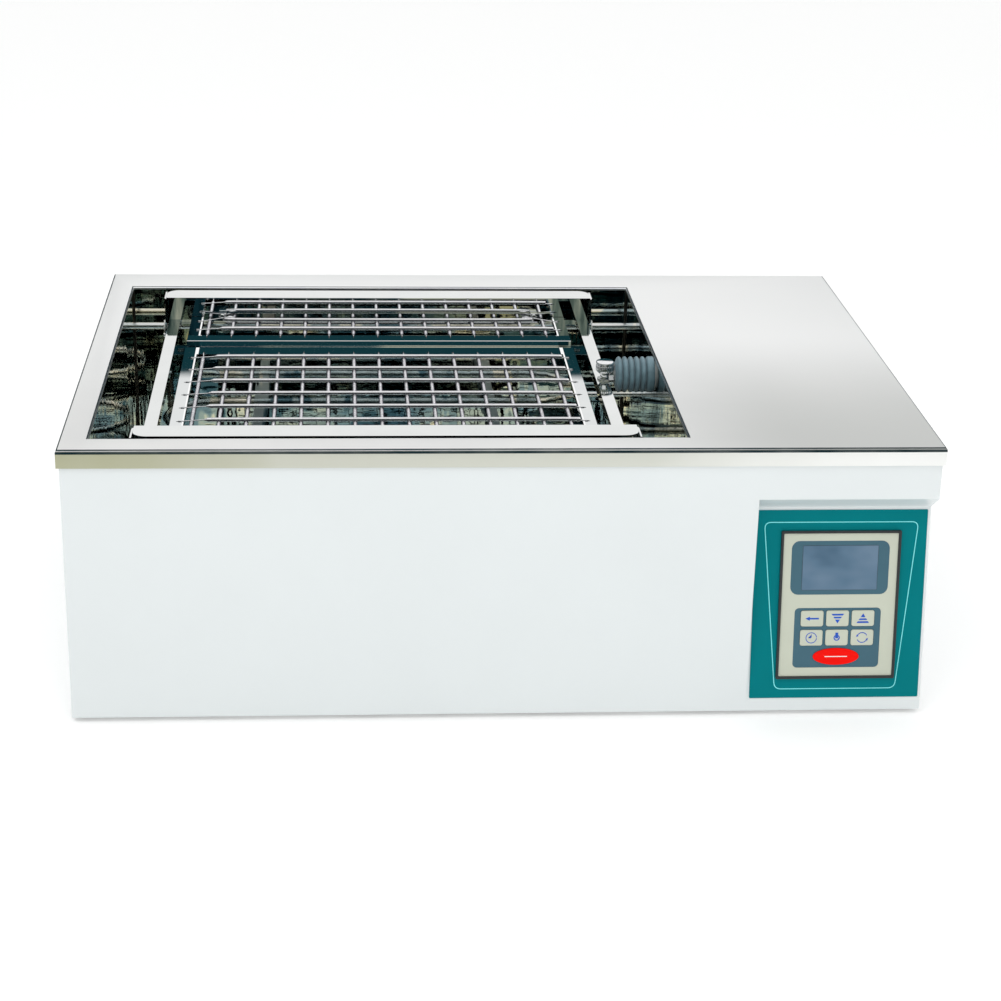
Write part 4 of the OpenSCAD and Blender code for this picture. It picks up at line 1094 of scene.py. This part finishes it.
def make_world():
    """A bright room over a dark band that the polished steel mirrors, plain at the back and
    cluttered at the front. Seen directly it is plain white."""
    world = bpy.data.worlds.new("studio")
    bpy.context.scene.world = world
    world.use_nodes = True
    tree = world.node_tree
    where = add(tree, "ShaderNodeTexCoord")
    parts = add(tree, "ShaderNodeSeparateXYZ")
    tree.links.new(where.outputs["Generated"], parts.inputs[0])
    reach = {"From Min": -0.25, "From Max": 0.25, "To Min": 0.56, "To Max": 0.312}
    edge = add(tree, "ShaderNodeMapRange", reach)
    tree.links.new(parts.outputs["Y"], edge.inputs["Value"])
    above = add(tree, "ShaderNodeMath", operation="SUBTRACT")
    tree.links.new(parts.outputs["Z"], above.inputs[0])
    tree.links.new(edge.outputs[0], above.inputs[1])
    ceiling = add(tree, "ShaderNodeMapRange", {"From Min": 0.0, "From Max": 0.003})
    tree.links.new(above.outputs[0], ceiling.inputs["Value"])
    path = add(tree, "ShaderNodeLightPath")
    white = combined(tree, "MAXIMUM", ceiling.outputs[0], path.outputs["Is Camera Ray"])
    clutter = add(tree, "ShaderNodeTexNoise", {"Scale": 5.0, "Detail": 3.0})
    tree.links.new(where.outputs["Generated"], clutter.inputs["Vector"])
    room = ramp(
        tree,
        clutter.outputs[0],
        [(0.46, (0.006, 0.03, 0.042)), (0.475, (0.12, 0.15, 0.13)), (0.52, (0.02, 0.07, 0.085)),
         (0.535, (0.40, 0.41, 0.33))],
    )
    low_wall = add(tree, "ShaderNodeMix", {"A": (0.008, 0.045, 0.056, 1)}, data_type="RGBA")
    tree.links.new(room, low_wall.inputs["B"])
    front = add(tree, "ShaderNodeMapRange", {"From Min": 0.1, "From Max": -0.1})
    tree.links.new(parts.outputs["Y"], front.inputs["Value"])
    tree.links.new(front.outputs[0], low_wall.inputs["Factor"])
    mix = add(tree, "ShaderNodeMix", {"B": (1, 1, 1, 1)}, data_type="RGBA")
    tree.links.new(white, mix.inputs["Factor"])
    tree.links.new(low_wall.outputs["Result"], mix.inputs["A"])
    background = tree.nodes["Background"]
    tree.links.new(mix.outputs["Result"], background.inputs["Color"])
    background.inputs["Strength"].default_value = 1.0


def make_light(name, location, target, size, power):
    """A soft box that lights the piece without showing in its steel."""
    light = bpy.data.lights.new(name, "AREA")
    light.shape = "RECTANGLE"
    light.size, light.size_y = size
    light.energy = power
    obj = bpy.data.objects.new(name, light)
    obj.location = location
    obj.rotation_euler = (Vector(target) - Vector(location)).to_track_quat("-Z", "Y").to_euler()
    obj.visible_glossy = False
    bpy.context.scene.collection.objects.link(obj)


def make_camera():
    """A long lens from a little left of the front and above, as in a catalogue."""
    yaw, pitch, roll = (math.radians(a) for a in (4.29, 21.45, 1.32))
    data = bpy.data.cameras.new("camera")
    data.sensor_width = 36.0
    data.lens = 81.21
    data.clip_start, data.clip_end = 0.1, 50
    ahead = Vector(
        (math.sin(yaw) * math.cos(pitch), math.cos(yaw) * math.cos(pitch), -math.sin(pitch))
    )
    right = Vector((math.cos(yaw), -math.sin(yaw), 0))
    up = right.cross(ahead)
    across = right * math.cos(roll) + up * math.sin(roll)
    upward = up * math.cos(roll) - right * math.sin(roll)
    matrix = Matrix((across, upward, -ahead)).transposed().to_4x4()
    matrix.translation = (-0.13758, -2.03696, 0.9031)
    camera = bpy.data.objects.new("camera", data)
    camera.matrix_world = matrix
    bpy.context.scene.collection.objects.link(camera)
    bpy.context.scene.camera = camera


# ---------------------------------------------------------------- assembly

dress_nodes()
dress_bath_floor()
make_camera()
make_world()
make_floor()
make_light("key_light", (-1.2, -1.6, 2.4), (0, 0, 0.1), (1.6, 1.6), 12)
make_light("front_light", (0.6, -3.0, 1.2), (0, 0, 0.1), (2.4, 1.4), 26)
bpy.context.scene.view_settings.view_transform = "Standard"

make_deck()
# Where the long springs leave the strips that hold them, and where each cross spring lies.
front_low, front_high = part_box("front_rack_frame")
front_ends = (front_low.y + 20 * MM, front_high.y - 21 * MM)
front_rows = [(front_low.y + 29 * MM + ROW_PITCH * k, 0.0) for k in range(7)]
long_wire = spring_wire("long_spring_wire", (0, 0.15, 0.99))
make_rack_springs("front_rack", front_rows, front_ends, False, long_wire)
back_low, back_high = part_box("back_rack_frame")
back_ends = (back_low.y + 19 * MM, back_high.y - 1.5 * MM)
back_rows = [(back_low.y + 36.5 * MM, 0.0), (back_low.y + 66 * MM, 9 * MM)]
make_rack_springs("back_rack", back_rows, back_ends, True, long_wire)
make_thumb_screw()
make_bellows()
make_panel()
make_corner_beads()
refine_nodes(["carriage_frame"], 0.5, top_material=level_sheet())
refine_nodes(["front_rack_frame", "rack_beam"], 0.5)
back_sheet = rack_sheet("back_rack", True)
refined("back_rack_frame", "back_rack", "rack_steel", back_sheet, width=0.5)
refine_nodes(["rack_clamps"], 0.9, segments=3)
refine_nodes(["controller_frame", "push_rod"], 0.3)
refine_nodes([k for k in slots if k.startswith("key_") and k != "key_run"], 0.25)
refine_nodes(["feet", "drain_handle", "mains_inlet", "switch_housing"], 0.4)
